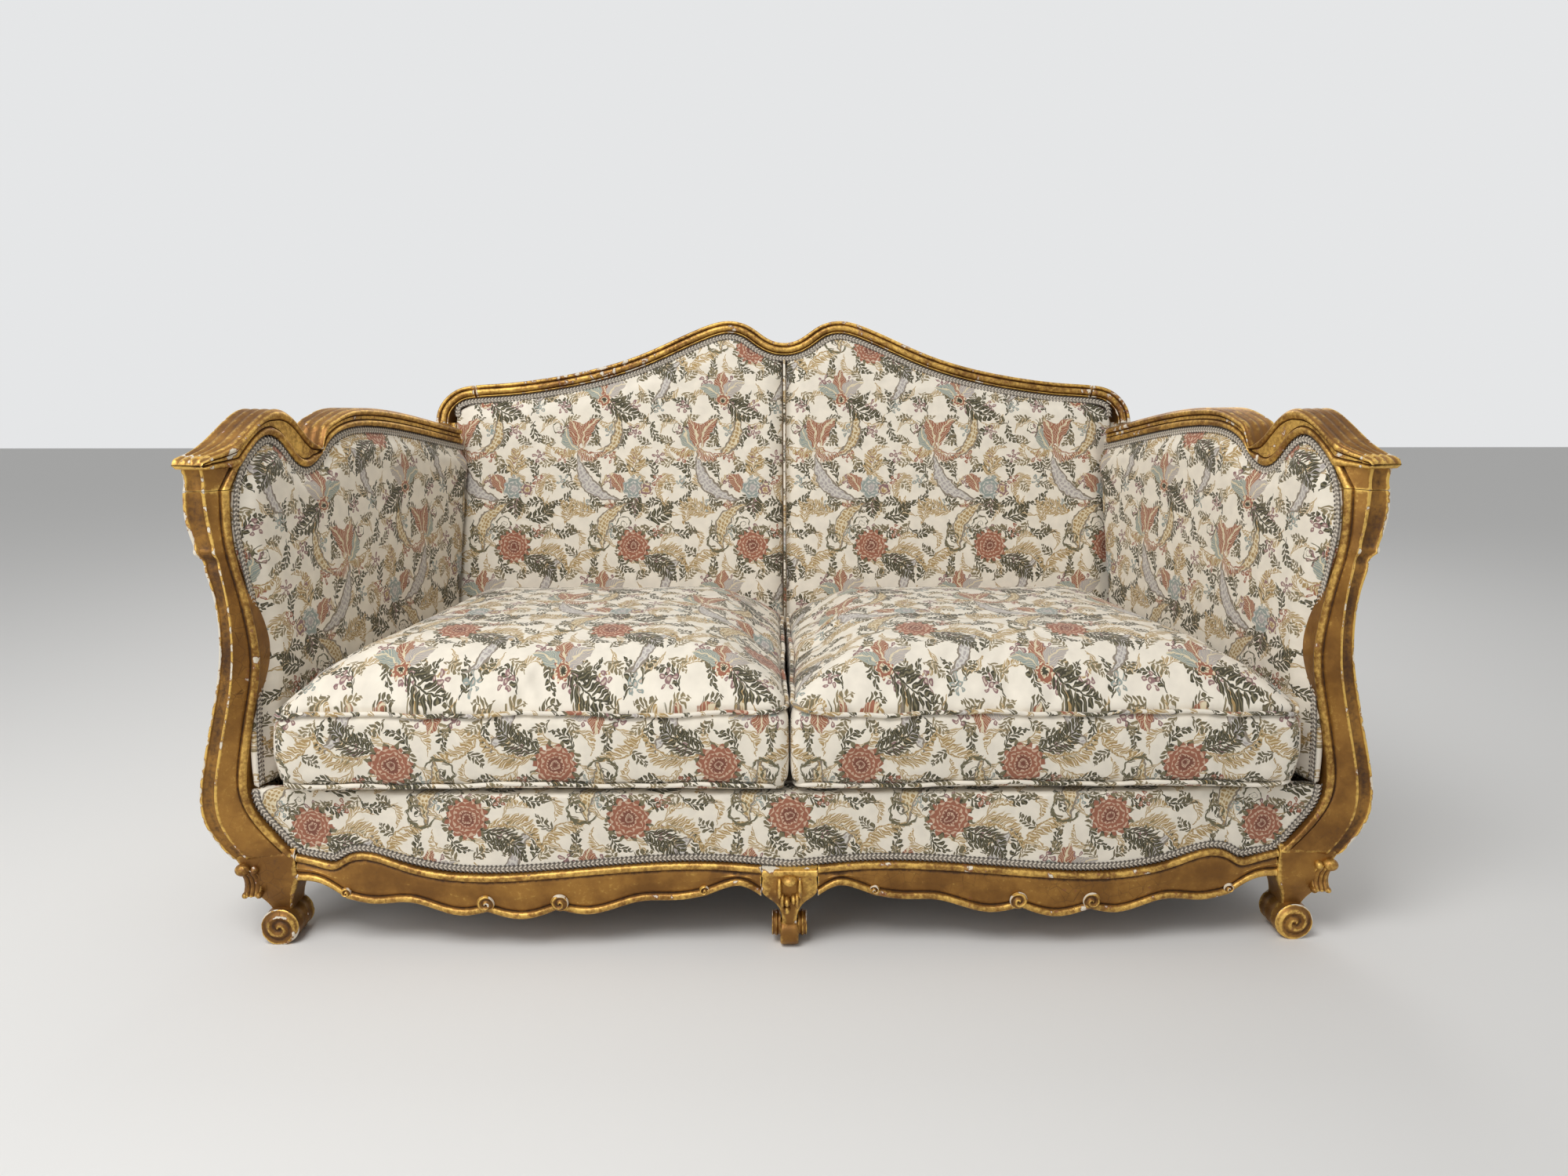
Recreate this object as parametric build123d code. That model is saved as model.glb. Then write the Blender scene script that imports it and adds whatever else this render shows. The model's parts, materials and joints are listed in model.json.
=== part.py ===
"""A gilt baroque two-seat sofa, built as it comes apart on the bench.

Show-wood frame of carved, gilt members, a hidden beech seat frame with zigzag springs, fixed padding on
the back, arms and deck, and two loose seat cushions.
The origin is on the floor under the middle of the sofa. +X is to the right of someone facing it, +Y runs
to the back and +Z is up. The right half is modelled, and the left half is its mirror image.
"""
from build123d import *
import os
from math import cos, hypot, radians, sin, tan

# Planes of the back and arms, in millimetres and degrees
back_rake = 14.0          # lean of the back
back_line_y = 241.8       # where the back's reference plane crosses the height back_line_z
back_line_z = 400.0
arm_splay = 12.5          # turn of each arm outwards, towards the front
arm_start_x = 690.0       # a point of the right arm's inner plane, at its back end
arm_start_y = 230.0

# Clearances
glue_gap = 0.1            # round a dowel in its bore
cloth_gap = 0.5           # between upholstery and the wood beside it
seat_gap = 0.3            # between layers of the deck

# Seat frame
rail_bottom = 114.0
rail_height = 56.0
rail_thickness = 35.0
front_rail_y = -372.0     # front face of the front seat rail, and back of the apron
bearer_width = 40.0
bearer_drop = 6.0         # the centre bearer's top lies this far under the rails' tops
block_leg = 100.0         # legs of a corner block
block_drop = 12.0         # top of a corner block under the rails' tops
block_height = 36.0

# Springs
spring_wire = 3.5
spring_count = 8
spring_pitch = 150.0
spring_width = 64.0
spring_bars = 16          # gaps between the bars of one zigzag
clip_width = 22.0
clip_depth = 16.0
clip_height = 6.0
clip_bore_height = 3.0
wire_play = 0.1

# Deck and border
hessian_thickness = 1.5
deck_top = 256.0
border_set_back = 10.0    # border's face behind the apron's
gimp_width = 14.0
gimp_thickness = 2.5
dust_cover_thickness = 1.0

# Loose cushions
cushion_gap = 3.0         # between the two cushions
cushion_front = -438.0
cushion_post_gap = 7.0    # beside the front posts
cushion_arm_gap = 5.0     # beside the padding of the arms
cushion_back_gap = 3.0    # in front of the back padding
cushion_side = 134.0      # height of the boxing
cushion_crown = 74.0      # rise of the top over the boxing
cushion_draw = 7.0        # how far the sides are drawn in between the corners
cushion_corner = 30.0
cover_thickness = 1.4
filling_gap = 0.6

# Front posts
post_top = 725.0
apron_joint_x = 779.0     # joint between apron and front post
knee_top = 149.0
knee_bottom = 95.0
knee_front = -406.0
leg_back = -348.0
ankle_z = 48.0
foot_x = 812.0
foot_radius = 30.0
foot_front = -414.0
foot_flat = 1.5           # depth of the flat cut under each front foot
scroll_depth = 46.0

# Centre leg
centre_joint_x = 44.0
centre_front = -438.0
centre_foot_radius = 25.0
centre_foot_width = 44.0

# Arms
arm_thickness = 42.0      # outwards from the inner plane
arm_rail_in = 6.0         # the arm rail stands proud of the inner plane
arm_rail_out = 16.0       # and of the outer plane
arm_pad_depth = 14.0      # padding behind the inner plane
arm_crown = 14.0          # padding in front of it
arm_crown_slope = 22.0
pad_bottom = 264.0        # lower edge of the padding on arms and back
tack_rail_bottom = 276.0
tack_rail_height = 45.0
outer_panel = 3.0         # thickness of the covers outside
outer_panel_bottom = 118.0
webbing_width = 50.0
webbing_thickness = 2.0

# Back
gilt_width = 28.0         # moulded edge of the back frame
ledge_width = 22.0        # hidden ledge inside it, which takes the tacks
gilt_front = 14.0         # the moulding stands this far in front of the reference plane
frame_back = 49.0         # rear face of the frame behind the reference plane
ledge_back = 12.0         # front face of the ledge behind the reference plane
back_margin = 8.0         # face of the padding under its braid
back_crown = 24.0         # face of the padding in its middle
back_crown_slope = 30.0
seam_half = 0.6           # half the seam between the two halves of the padding
crest_joint_x = 657.0
post_inner_x = 698.0
post_outer_x = 741.0
post_bend_z = 270.0       # a back post is upright below this height
leg_splay = 56.0
rear_foot = 36.0
upright_width = 44.0

# Fasteners
dowel_radius = 5.0
dowel_length = 50.0
dowel_pitch = 20.0
screw_radius = 2.5
screw_length = 36.0
screw_seat = 14.0         # the head's seat in front of the rail
screw_head_radius = 4.5
screw_head = 3.0
screw_play = 0.2
screw_from_corner = 66.0

rail_top = rail_bottom + rail_height
front_rail_back = front_rail_y + rail_thickness
post_back = front_rail_back
leg_bend_z = rail_bottom  # a back post's leg leans back below the seat rails
hessian_bottom = rail_top + clip_height + seat_gap
deck_bottom = hessian_bottom + hessian_thickness + seat_gap
cushion_bottom = deck_top + hessian_thickness + cloth_gap
rake = radians(back_rake)
splay = radians(arm_splay)
reach = 3000.0            # larger than the sofa, for cutting

# The back's plane: x across, y up the rake, z towards the sitter
back_plane = Plane((0, back_line_y, back_line_z), x_dir=(1, 0, 0), z_dir=(0, -cos(rake), sin(rake)))
# The right arm's plane: x forwards along the arm, y up, z towards the sitter
arm_plane = Plane(
    (arm_start_x, arm_start_y, 0),
    x_dir=(sin(splay), -cos(splay), 0),
    z_dir=(-cos(splay), -sin(splay), 0),
)
# Front elevation: x across, y up, z towards the front
front_plane = Plane((0, 0, 0), x_dir=(1, 0, 0), z_dir=(0, -1, 0))
# Side elevation: x to the back, y up, z to the right
side_plane = Plane((0, 0, 0), x_dir=(0, 1, 0), z_dir=(1, 0, 0))


def back_y(height, forward=0.0):
    """Where a plane parallel to the back, this far in front of it, lies at a height."""
    return back_line_y + (height - back_line_z) * tan(rake) - forward / cos(rake)


def up_the_rake(height):
    """Distance up the back's plane to a height."""
    return (height - back_line_z) / cos(rake)


def arm_x(depth, inwards=0.0):
    """Where a plane parallel to the right arm's, this far inside it, lies at a depth."""
    return arm_start_x + (arm_start_y - depth) * tan(splay) - inwards / cos(splay)


def face(*runs):
    """A flat face inside runs of points, each starting where the one before it ends."""
    edges = [Line(*points) if len(points) == 2 else Spline(*points) for points in runs]
    return make_face(edges)


def polygon(*corners):
    return make_face(Polyline(*corners, close=True))


def layer(flat, low, high, plane=Plane.XY):
    """A flat face made solid between two depths of a plane."""
    return plane * extrude(Pos(0, 0, low) * flat, amount=high - low, dir=(0, 0, 1))


def block(x_range, y_range, z_range):
    """A box between two corners."""
    ranges = (x_range, y_range, z_range)
    middle = [(low + high) / 2 for low, high in ranges]
    return Pos(*middle) * Box(*[high - low for low, high in ranges])


def inset(curve, distance, steps, start=0.0, end=1.0):
    """Points beside a stretch of a curve, on the right of its direction."""
    beside = []
    for step in range(steps + 1):
        share = start + (end - start) * step / steps
        place = curve.position_at(share)
        way = curve.tangent_at(share)
        beside.append((place.X + way.Y * distance, place.Y - way.X * distance))
    return beside


def left(solid):
    return mirror(solid, about=Plane.YZ)


def whole(solid):
    return solid + left(solid)


def rod(start, way, length, radius):
    """A round bar from a point along a direction."""
    return extrude(Plane(start, z_dir=way) * Circle(radius), amount=length)


def in_the_arm(along, height, inwards):
    """A point given in the right arm's plane."""
    return arm_plane.from_local_coords((along, height, inwards))


nodes = {}


def both(name, solid):
    """Keeps a right-hand piece and its mirror image."""
    nodes["right_" + name] = solid
    nodes["left_" + name] = left(solid)


# Back frame: crest rail, and back posts with rounded shoulders and raked legs
crest_points = [
    (0, 561), (30, 568), (72, 596), (117, 608), (175, 594), (300, 538), (400, 506), (520, 483),
    (600, 474), (crest_joint_x, 470), (692, 462), (720, 441), (735, 415), (739, 390),
]
crest_curve = Spline(*[(-x, w) for x, w in crest_points[:0:-1]], *crest_points)
crest_steps = 36
shoulder_drop = 30.0      # the padding's corner under the line of the crest


def crest_inset(distance, end=1.0):
    """Points inside the right half of the back's edge."""
    return inset(crest_curve, distance, crest_steps, 0.5, end)


joint_share = max(
    share / 1000 for share in range(500, 1000) if crest_curve.position_at(share / 1000).X < crest_joint_x
)


def band(outer, inner):
    """A face between two rows of points that run the same way."""
    back = inner[::-1]
    return face(outer, [outer[-1], back[0]], back, [back[-1], outer[0]])


gilt_edge = layer(band(crest_inset(0), crest_inset(gilt_width)), -frame_back, gilt_front, back_plane)
ledge_face = band(crest_inset(gilt_width / 2, joint_share), crest_inset(gilt_width + ledge_width, joint_share))
tack_ledge = layer(ledge_face, -frame_back, -ledge_back, back_plane)
back_edge = whole(gilt_edge + tack_ledge)
crest_rail = back_edge & block((-crest_joint_x, crest_joint_x), (-reach, reach), (0, reach))
shoulder = back_edge & block((crest_joint_x, reach), (-reach, reach), (0, reach))

post_front_y = back_y(post_bend_z, -ledge_back)
post_rear_y = back_y(post_bend_z, -frame_back)
shoulder_z = back_line_z + crest_points[-1][1] * cos(rake)
post_side = polygon(
    (post_front_y, post_bend_z),
    (back_y(shoulder_z, -ledge_back), shoulder_z),
    (back_y(shoulder_z, -frame_back), shoulder_z),
    (post_rear_y, post_bend_z),
    (post_rear_y, leg_bend_z),
    (post_front_y + leg_splay + rear_foot, 0),
    (post_front_y + leg_splay, 0),
    (post_front_y, leg_bend_z),
)
back_post = shoulder + layer(post_side, post_inner_x, post_outer_x, side_plane)

# Padding of the back, in two halves, with the braid along its top
def back_pad_face(edge, side, bottom, middle):
    """Half of the back's padding, this far in from the frame, the side, the bottom and the middle."""
    under = crest_inset(edge, joint_share)
    top = [(middle, under[0][1])] + [point for point in under if point[0] > middle + 1]
    corner = (post_inner_x - side, top[-1][1] - shoulder_drop)
    low = up_the_rake(pad_bottom) + bottom
    foot = (corner[0], low)
    heel = (middle, low)
    return face(top, [top[-1], corner], [corner, foot], [foot, heel], [heel, top[0]])


pad_edge = gilt_width + cloth_gap
crown_edge = pad_edge + gimp_width + cloth_gap
back_pad_rear = webbing_thickness - ledge_back
back_slab = layer(back_pad_face(pad_edge, cloth_gap, 0, seam_half), back_pad_rear, back_margin, back_plane)
crown_base = back_pad_face(crown_edge, gimp_width, cloth_gap, seam_half + cloth_gap)
crown_inner = crown_edge + back_crown_slope
crown_face = back_pad_face(crown_inner, gimp_width + back_crown_slope, back_crown_slope, back_crown_slope)
crown = back_plane * loft([Pos(0, 0, back_margin) * crown_base, Pos(0, 0, back_crown) * crown_face], ruled=True)
both("back_pad", back_slab + crown)
back_room_face = back_pad_face(gilt_width, -cloth_gap, -reach / 10, 0)
back_room = whole(layer(back_room_face, -ledge_back, back_crown + cloth_gap, back_plane))
gimp_rows = [crest_inset(pad_edge, joint_share), crest_inset(pad_edge + gimp_width, joint_share)]
gimp_ends = [(post_inner_x - cloth_gap - gimp_width * row, gimp_rows[row][-1][1] - shoulder_drop) for row in (0, 1)]
gimp_face = face(
    gimp_rows[0],
    [gimp_rows[0][-1], gimp_ends[0]],
    gimp_ends,
    [gimp_ends[1], gimp_rows[1][-1]],
    gimp_rows[1][::-1],
    [gimp_rows[1][0], gimp_rows[0][0]],
)
nodes["back_gimp"] = whole(layer(gimp_face, back_margin, back_margin + gimp_thickness, back_plane))

# Hidden members of the back
tack_low = up_the_rake(tack_rail_bottom)
back_tack_face = polygon(
    (-post_inner_x, tack_low), (post_inner_x, tack_low),
    (post_inner_x, tack_low + tack_rail_height), (-post_inner_x, tack_low + tack_rail_height),
)
nodes["back_tack_rail"] = layer(back_tack_face, -frame_back, -ledge_back, back_plane)
upright_top = crest_points[0][1] - gilt_width
upright_face = polygon(
    (-upright_width / 2, tack_low + tack_rail_height), (upright_width / 2, tack_low + tack_rail_height),
    (upright_width / 2, upright_top), (-upright_width / 2, upright_top),
)
nodes["back_upright"] = layer(upright_face, -frame_back, -ledge_back, back_plane) - crest_rail

back_webbing_count = 8
back_webbing_pitch = 2 * post_inner_x / (back_webbing_count + 1)
webbing_area = whole(
    layer(back_pad_face(pad_edge, cloth_gap, 0, 0), -ledge_back, back_pad_rear, back_plane)
)
webbing_low = tack_low + cloth_gap
webbing_high = crest_points[3][1]


def back_strip(number):
    """One strip of webbing, from the lower rail to the crest rail's ledge."""
    middle = (number - (back_webbing_count - 1) / 2) * back_webbing_pitch
    sides = (middle - webbing_width / 2, middle + webbing_width / 2)
    strip = polygon(
        (sides[0], webbing_low), (sides[1], webbing_low), (sides[1], webbing_high), (sides[0], webbing_high)
    )
    return layer(strip, -ledge_back, back_pad_rear, back_plane) & webbing_area


nodes["back_webbing"] = Compound([back_strip(number).solid() for number in range(back_webbing_count)])

panel_edge = 6.0
panel_side = post_outer_x - panel_edge
panel_top = crest_inset(panel_edge)
panel_low = up_the_rake(post_bend_z) + frame_back * tan(rake)
panel_points = [point for point in panel_top if point[0] < panel_side]
panel_face = face(
    panel_points,
    [panel_points[-1], (panel_side, panel_points[-1][1] - panel_edge)],
    [(panel_side, panel_points[-1][1] - panel_edge), (panel_side, panel_low)],
    [(panel_side, panel_low), (0, panel_low)],
    [(0, panel_low), panel_points[0]],
)
outer_back = whole(layer(panel_face, -frame_back - outer_panel, -frame_back, back_plane))
outer_skirt = block(
    (-panel_side, panel_side),
    (post_rear_y, post_rear_y + outer_panel / cos(rake)),
    (outer_panel_bottom, post_bend_z),
)
nodes["outer_back_cover"] = outer_back + outer_skirt

# Arms: the line where the wood ends and the padding begins runs along the rail and down the front post
arm_points = [
    (-110, 729), (-19, 747), (138, 778), (264, 796), (334, 796), (390, 777), (424, 750), (457, 742), (481, 755),
    (509, 785), (538, 799), (582, 781), (609, 757), (624, post_top + 6), (632, 706), (636, 663), (632, 629),
    (624, 583), (614, 530), (610, 464), (621, 420), (633, 360), (641, pad_bottom),
]
arm_curve = Spline(*arm_points)
arm_steps = 60


def arm_face(edge, rise):
    """The arm's padding, this far in from the wood and with its lower edge raised."""
    top = inset(arm_curve, edge, arm_steps)
    top = [point for point in top if point[1] > pad_bottom + rise]
    toe = (top[-1][0], pad_bottom + rise - cloth_gap)
    heel = (top[0][0], pad_bottom + rise - cloth_gap)
    return face(top, [top[-1], toe], [toe, heel], [heel, top[0]])


ahead_of_posts = layer(
    polygon(
        (-reach, 0), (post_front_y, 0), (post_front_y, post_bend_z), (back_y(reach, -ledge_back), reach),
        (-reach, reach),
    ),
    -reach, reach, side_plane,
)
ahead_of_pads = layer(
    polygon((-reach, -reach), (reach, -reach), (reach, reach), (-reach, reach)),
    back_crown + cloth_gap, reach, back_plane,
)
behind_the_post = block((-reach, reach), (post_back, reach), (-reach, reach))
arm_slab = layer(arm_face(cloth_gap, 0), -arm_pad_depth, 0, arm_plane)
arm_crown_base = arm_face(cloth_gap * 2 + gimp_width, cloth_gap)
arm_crown_face = arm_face(cloth_gap * 2 + gimp_width + arm_crown_slope, arm_crown_slope)
arm_swell = arm_plane * loft([arm_crown_base, Pos(0, 0, arm_crown) * arm_crown_face], ruled=True)
both("arm_pad", (arm_slab + arm_swell) & ahead_of_pads)

arm_gimp_face = band(
    inset(arm_curve, cloth_gap, arm_steps), inset(arm_curve, cloth_gap + gimp_width, arm_steps)
)
both("arm_gimp", layer(arm_gimp_face, 0, gimp_thickness, arm_plane) & ahead_of_pads)

# Arm rail with its two humps, the notch between them and the ear
notch = (411, 772)
ear_tip = (676, 773)
ear_underside = 757.0
post_face_along = 656.0
rail_underside = [point for point in inset(arm_curve, 0, arm_steps) if point[1] > post_top][::-1]
rail_face = face(
    [(-110, 761), (-14, 780), (139, 811), (276, 828), (330, 826), (376, 813), (399, 796), notch],
    [notch, (447, 795), (476, 823), (522, 837), (565, 820), (601, 799), (640, 781), ear_tip],
    [ear_tip, (ear_tip[0], ear_underside)],
    [(ear_tip[0], ear_underside), (post_face_along, ear_underside)],
    [(post_face_along, ear_underside), (post_face_along, post_top)],
    [(post_face_along, post_top), rail_underside[0]],
    rail_underside,
    [rail_underside[-1], (-110, 761)],
)
arm_rail = layer(rail_face, -arm_thickness - arm_rail_out, arm_rail_in, arm_plane)
arm_rail = (arm_rail & ahead_of_posts) - back_room - shoulder

tack_face = polygon(
    (-200, tack_rail_bottom), (reach, tack_rail_bottom),
    (reach, tack_rail_bottom + tack_rail_height), (-200, tack_rail_bottom + tack_rail_height),
)
arm_tack_rail = layer(tack_face, -arm_thickness, -arm_pad_depth - webbing_thickness, arm_plane)
arm_tack_rail = arm_tack_rail & ahead_of_posts & behind_the_post
both("arm_tack_rail", arm_tack_rail - back_room)

arm_webbing_places = [70, 190, 310, 430, 540]


def arm_strip(along):
    """One strip of webbing, from the lower arm rail up to the arm rail."""
    strip = polygon(
        (along - webbing_width / 2, tack_rail_bottom), (along + webbing_width / 2, tack_rail_bottom),
        (along + webbing_width / 2, reach), (along - webbing_width / 2, reach),
    )
    depths = (-arm_pad_depth - webbing_thickness, -arm_pad_depth)
    return layer(strip, *depths, arm_plane) & layer(arm_face(cloth_gap, 0), *depths, arm_plane)


arm_strips = [arm_strip(along).solid() for along in arm_webbing_places]
nodes["right_arm_webbing"] = Compound(arm_strips)
nodes["left_arm_webbing"] = Compound([left(strip) for strip in arm_strips])

outer_top = [point for point in inset(arm_curve, cloth_gap, arm_steps) if point[1] > post_top]
outer_front = (outer_top[-1][0], outer_panel_bottom)
outer_rear = (outer_top[0][0], outer_panel_bottom)
outer_face = face(outer_top, [outer_top[-1], outer_front], [outer_front, outer_rear], [outer_rear, outer_top[0]])
outer_arm = layer(outer_face, -arm_thickness - outer_panel, -arm_thickness, arm_plane)
both("outer_arm_cover", (outer_arm & ahead_of_posts & behind_the_post) - back_post)

# Front posts: sections at heights, each with its outer corner, arris, braid edge and front
post_sections = [
    # height, outer corner x, arris x, braid edge x, braid edge y, front y
    (knee_top, 876, 852, apron_joint_x, knee_front, -412),
    (173, 893, 868, 800, -406, -413),
    (205, 908, 882, 824, -405, -415),
    (235, 912, 886, 839, -402, -416),
    (307, 900, 876, 840, -394, -415),
    (401, 875, 852, 822, -384, -413),
    (456, 862, 841, 813, -380, -412),
    (520, 855, 836, 815, -380, -412),
    (584, 860, 839, 824, -382, -412),
    (634, 874, 846, 829, -387, -412),
    (690, 886, 852, 829, -388, -412),
    (post_top, 884, 853, 828, -385, -412),
]
post_rear_taper = 8.0
knee_scrolls = [
    # in from the knee's outer corner, height, radius
    (18, 124, 13), (24, 90, 10),
]
knee_scroll_back = 4.0    # behind the knee's face


def post_section(height, outer, arris, edge_x, edge_y, front):
    corners = [(outer, front), (arris, front), (edge_x, edge_y), (edge_x, post_back)]
    corners.append((outer - post_rear_taper, post_back))
    return Pos(0, 0, height) * polygon(*corners)


knee_outer = post_sections[0][1]
knee_face = face(
    [(apron_joint_x, knee_top), (apron_joint_x, knee_bottom)],
    [(apron_joint_x, knee_bottom), (790, 82), (794, ankle_z)],
    [(794, ankle_z), (830, ankle_z)],
    [(830, ankle_z), (838, 68), (856, 84), (862, 104), (866, 130), (knee_outer, knee_top)],
    [(knee_outer, knee_top), (apron_joint_x, knee_top)],
)
knee = layer(knee_face, -leg_back, -knee_front, front_plane)
under_floor = block((-reach, reach), (-reach, reach), (-reach, 0))


def scroll(x, z, radius, front, depth):
    """A round scroll seen from the front."""
    return rod((x, front, z), (0, 1, 0), depth, radius)


foot = scroll(foot_x, foot_radius - foot_flat, foot_radius, foot_front, leg_back - foot_front) - under_floor
front_post = loft([post_section(*row) for row in post_sections]) + knee + foot
for inwards, height, radius in knee_scrolls:
    front_post += scroll(knee_outer - inwards, height, radius, knee_front + knee_scroll_back, scroll_depth)
front_post = front_post - layer(arm_face(0, 0), -arm_pad_depth - cloth_gap, reach / 10, arm_plane)

# Apron in two halves, with the centre leg between them
apron_top_points = [
    (0, 136), (90, 142), (176, 142), (395, 131), (610, 143), (697, 149), (714, 139), (740, 141),
    (apron_joint_x, knee_top),
]
apron_plan_points = [
    (0, centre_front), (60, -434), (140, -428), (390, -437), (600, -425), (apron_joint_x, knee_front),
]
apron_lower_runs = [
    [(apron_joint_x, 106), (742, 103), (700, 79)],
    [(700, 79), (655, 72), (596, 77), (516, 58), (474, 66)],
    [(474, 66), (419, 54), (363, 70)],
    [(363, 70), (318, 60), (234, 79), (177, 80), (132, 88)],
    [(132, 88), (105, 100), (75, 106), (centre_joint_x, 90)],
    [(centre_joint_x, 90), (27, 64), (20, centre_foot_radius)],
    [(20, centre_foot_radius), (0, centre_foot_radius)],
]
apron_elevation = face(
    apron_top_points,
    [apron_top_points[-1], apron_lower_runs[0][0]],
    *apron_lower_runs,
    [(0, centre_foot_radius), apron_top_points[0]],
)


def plan_band(front_shift, back):
    """The right half of the seat's bowed front in plan, back to a straight line."""
    front = [(x, y + front_shift) for x, y in apron_plan_points]
    front_end = (reach, front[-1][1])
    return face(
        front,
        [front[-1], front_end],
        [front_end, (reach, back)],
        [(reach, back), (0, back)],
        [(0, back), front[0]],
    )


def bowed(elevation, front_shift, back):
    """A front elevation given the bow of the seat's front."""
    solid = layer(elevation, 0, reach, front_plane)
    return solid & layer(plan_band(front_shift, back), 0, reach)


apron_half = bowed(apron_elevation, 0, front_rail_y)
apron = apron_half & block((centre_joint_x, apron_joint_x), (-reach, reach), (0, reach))
centre_block = whole(apron_half & block((0, centre_joint_x), (-reach, reach), (0, reach)))
centre_foot = rod(
    (-centre_foot_width / 2, centre_front + centre_foot_radius, centre_foot_radius - foot_flat),
    (1, 0, 0), centre_foot_width, centre_foot_radius,
)
centre_leg = centre_block + (centre_foot - under_floor)

# Seat frame in beech
nodes["front_seat_rail"] = block(
    (-apron_joint_x, apron_joint_x), (front_rail_y, front_rail_back), (rail_bottom, rail_top)
)
nodes["rear_seat_rail"] = block(
    (-post_inner_x, post_inner_x), (post_front_y, post_rear_y), (rail_bottom, rail_top)
)
nodes["centre_bearer"] = block(
    (-bearer_width / 2, bearer_width / 2), (front_rail_back, post_front_y), (rail_bottom, rail_top - bearer_drop)
)
side_rail_face = polygon((-200, rail_bottom), (reach, rail_bottom), (reach, rail_top), (-200, rail_top))
side_rail = layer(side_rail_face, -arm_thickness, -arm_pad_depth, arm_plane)
side_rail = side_rail & block((0, reach), (post_back, post_front_y), (0, reach))

rail_inner = -arm_pad_depth
block_top = rail_top - block_drop
block_bottom = block_top - block_height
screw_z = (block_top + block_bottom) / 2
along_rail = Vector(sin(splay), -cos(splay), 0)
out_of_rail = Vector(-cos(splay), -sin(splay), 0)


def corner_set(depth, towards):
    """A corner block against a cross rail at this depth and the side rail, with its screws and their bores."""
    corner = Vector(arm_x(depth, rail_inner), depth, 0)
    ends = [corner, corner + along_rail * block_leg * towards, corner - Vector(block_leg, 0, 0)]
    wedge = layer(polygon(*[(end.X, end.Y) for end in ends]), block_bottom, block_top)
    places = [
        (corner - Vector(screw_from_corner, 0, -screw_z), Vector(0, -towards, 0)),
        (corner + along_rail * screw_from_corner * towards + Vector(0, 0, screw_z), out_of_rail),
    ]
    screws = []
    bores = []
    for place, outwards in places:
        seat = place + outwards * screw_seat
        shank = rod(seat, outwards * -1, screw_length, screw_radius)
        head = rod(seat, outwards, screw_head, screw_head_radius)
        screws.append(shank + head)
        bores.append(rod(seat, outwards * -1, screw_length + screw_play, screw_radius + screw_play))
        bores.append(rod(seat, outwards, block_leg, screw_head_radius + screw_play))
    return wedge, screws, bores


corner_blocks = []
corner_screws = []
for depth, towards in ((front_rail_back, -1), (post_front_y, 1)):
    wedge, screws, bores = corner_set(depth, towards)
    for bore in bores:
        wedge = wedge - bore
        side_rail = side_rail - bore
        for name in ("front_seat_rail", "rear_seat_rail"):
            nodes[name] = nodes[name] - bore - left(bore)
    corner_blocks += [wedge.solid(), left(wedge).solid()]
    corner_screws += [screw.solid() for screw in screws] + [left(screw).solid() for screw in screws]
nodes["corner_blocks"] = Compound(corner_blocks)
nodes["corner_block_screws"] = Compound(corner_screws)
both("side_seat_rail", side_rail)

# Zigzag springs in clips, front rail to rear rail
spring_z = rail_top + clip_bore_height
spring_front = (front_rail_y + front_rail_back) / 2
spring_rear = (post_front_y + post_rear_y) / 2
spring_step = (spring_rear - spring_front) / spring_bars
spring_bend = spring_step * 0.47


def zigzag(middle):
    """One spring: bars across the seat, joined by round bends at alternate ends."""
    corners = []
    for bar in range(spring_bars + 1):
        side = spring_width / 2 if bar % 2 else -spring_width / 2
        y = spring_front + bar * spring_step
        corners += [(middle + side, y, spring_z), (middle - side, y, spring_z)]
    path = FilletPolyline(*corners, radius=spring_bend)
    return sweep(Plane(path @ 0, z_dir=path % 0) * Circle(spring_wire / 2), path=path)


def clip(middle, y):
    """A clip on the rail that holds the end bar of a spring."""
    body = block(
        (middle - clip_width / 2, middle + clip_width / 2),
        (y - clip_depth / 2, y + clip_depth / 2),
        (rail_top, rail_top + clip_height),
    )
    return body - rod((middle - clip_width, y, spring_z), (1, 0, 0), 2 * clip_width, spring_wire / 2 + wire_play)


spring_places = [(number - (spring_count - 1) / 2) * spring_pitch for number in range(spring_count)]
nodes["seat_springs"] = Compound([zigzag(place).solid() for place in spring_places])
nodes["spring_clips"] = Compound(
    [clip(place, y).solid() for place in spring_places for y in (spring_front, spring_rear)]
)

# Deck: hessian, padding and cloth, with a border in front and a dust cover underneath
border_back = front_rail_y - cloth_gap


def deck_outline(gap):
    """The right half of the deck in plan, in from the arms and round the front post."""
    rear = post_front_y - ledge_back
    shelf = post_back + cloth_gap
    return polygon(
        (0, front_rail_y), (apron_joint_x - gap, front_rail_y), (apron_joint_x - gap, shelf),
        (arm_x(shelf, gap), shelf), (arm_x(rear, gap), rear), (0, rear),
    )


nodes["seat_hessian"] = whole(layer(deck_outline(cloth_gap), hessian_bottom, hessian_bottom + hessian_thickness))
nodes["seat_deck_pad"] = whole(layer(deck_outline(cloth_gap), deck_bottom, deck_top))
nodes["deck_cloth"] = whole(layer(deck_outline(cloth_gap), deck_top, deck_top + hessian_thickness))

border_side = [(apron_joint_x, knee_top), (800, 173), (824, 205), (839, 235), (840, deck_top)]


def border_face(edge):
    """The right half of the border's front, this far in from the apron and the post."""
    low = [(x, z + edge) for x, z in apron_top_points[:-1]] + [(apron_joint_x - edge / 2, knee_top + edge)]
    side = [low[-1]] + [(x - edge, z + edge / 3) for x, z in border_side[1:-1]] + [(840 - edge, deck_top)]
    return face(low, side, [side[-1], (0, deck_top)], [(0, deck_top), low[0]])


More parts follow.
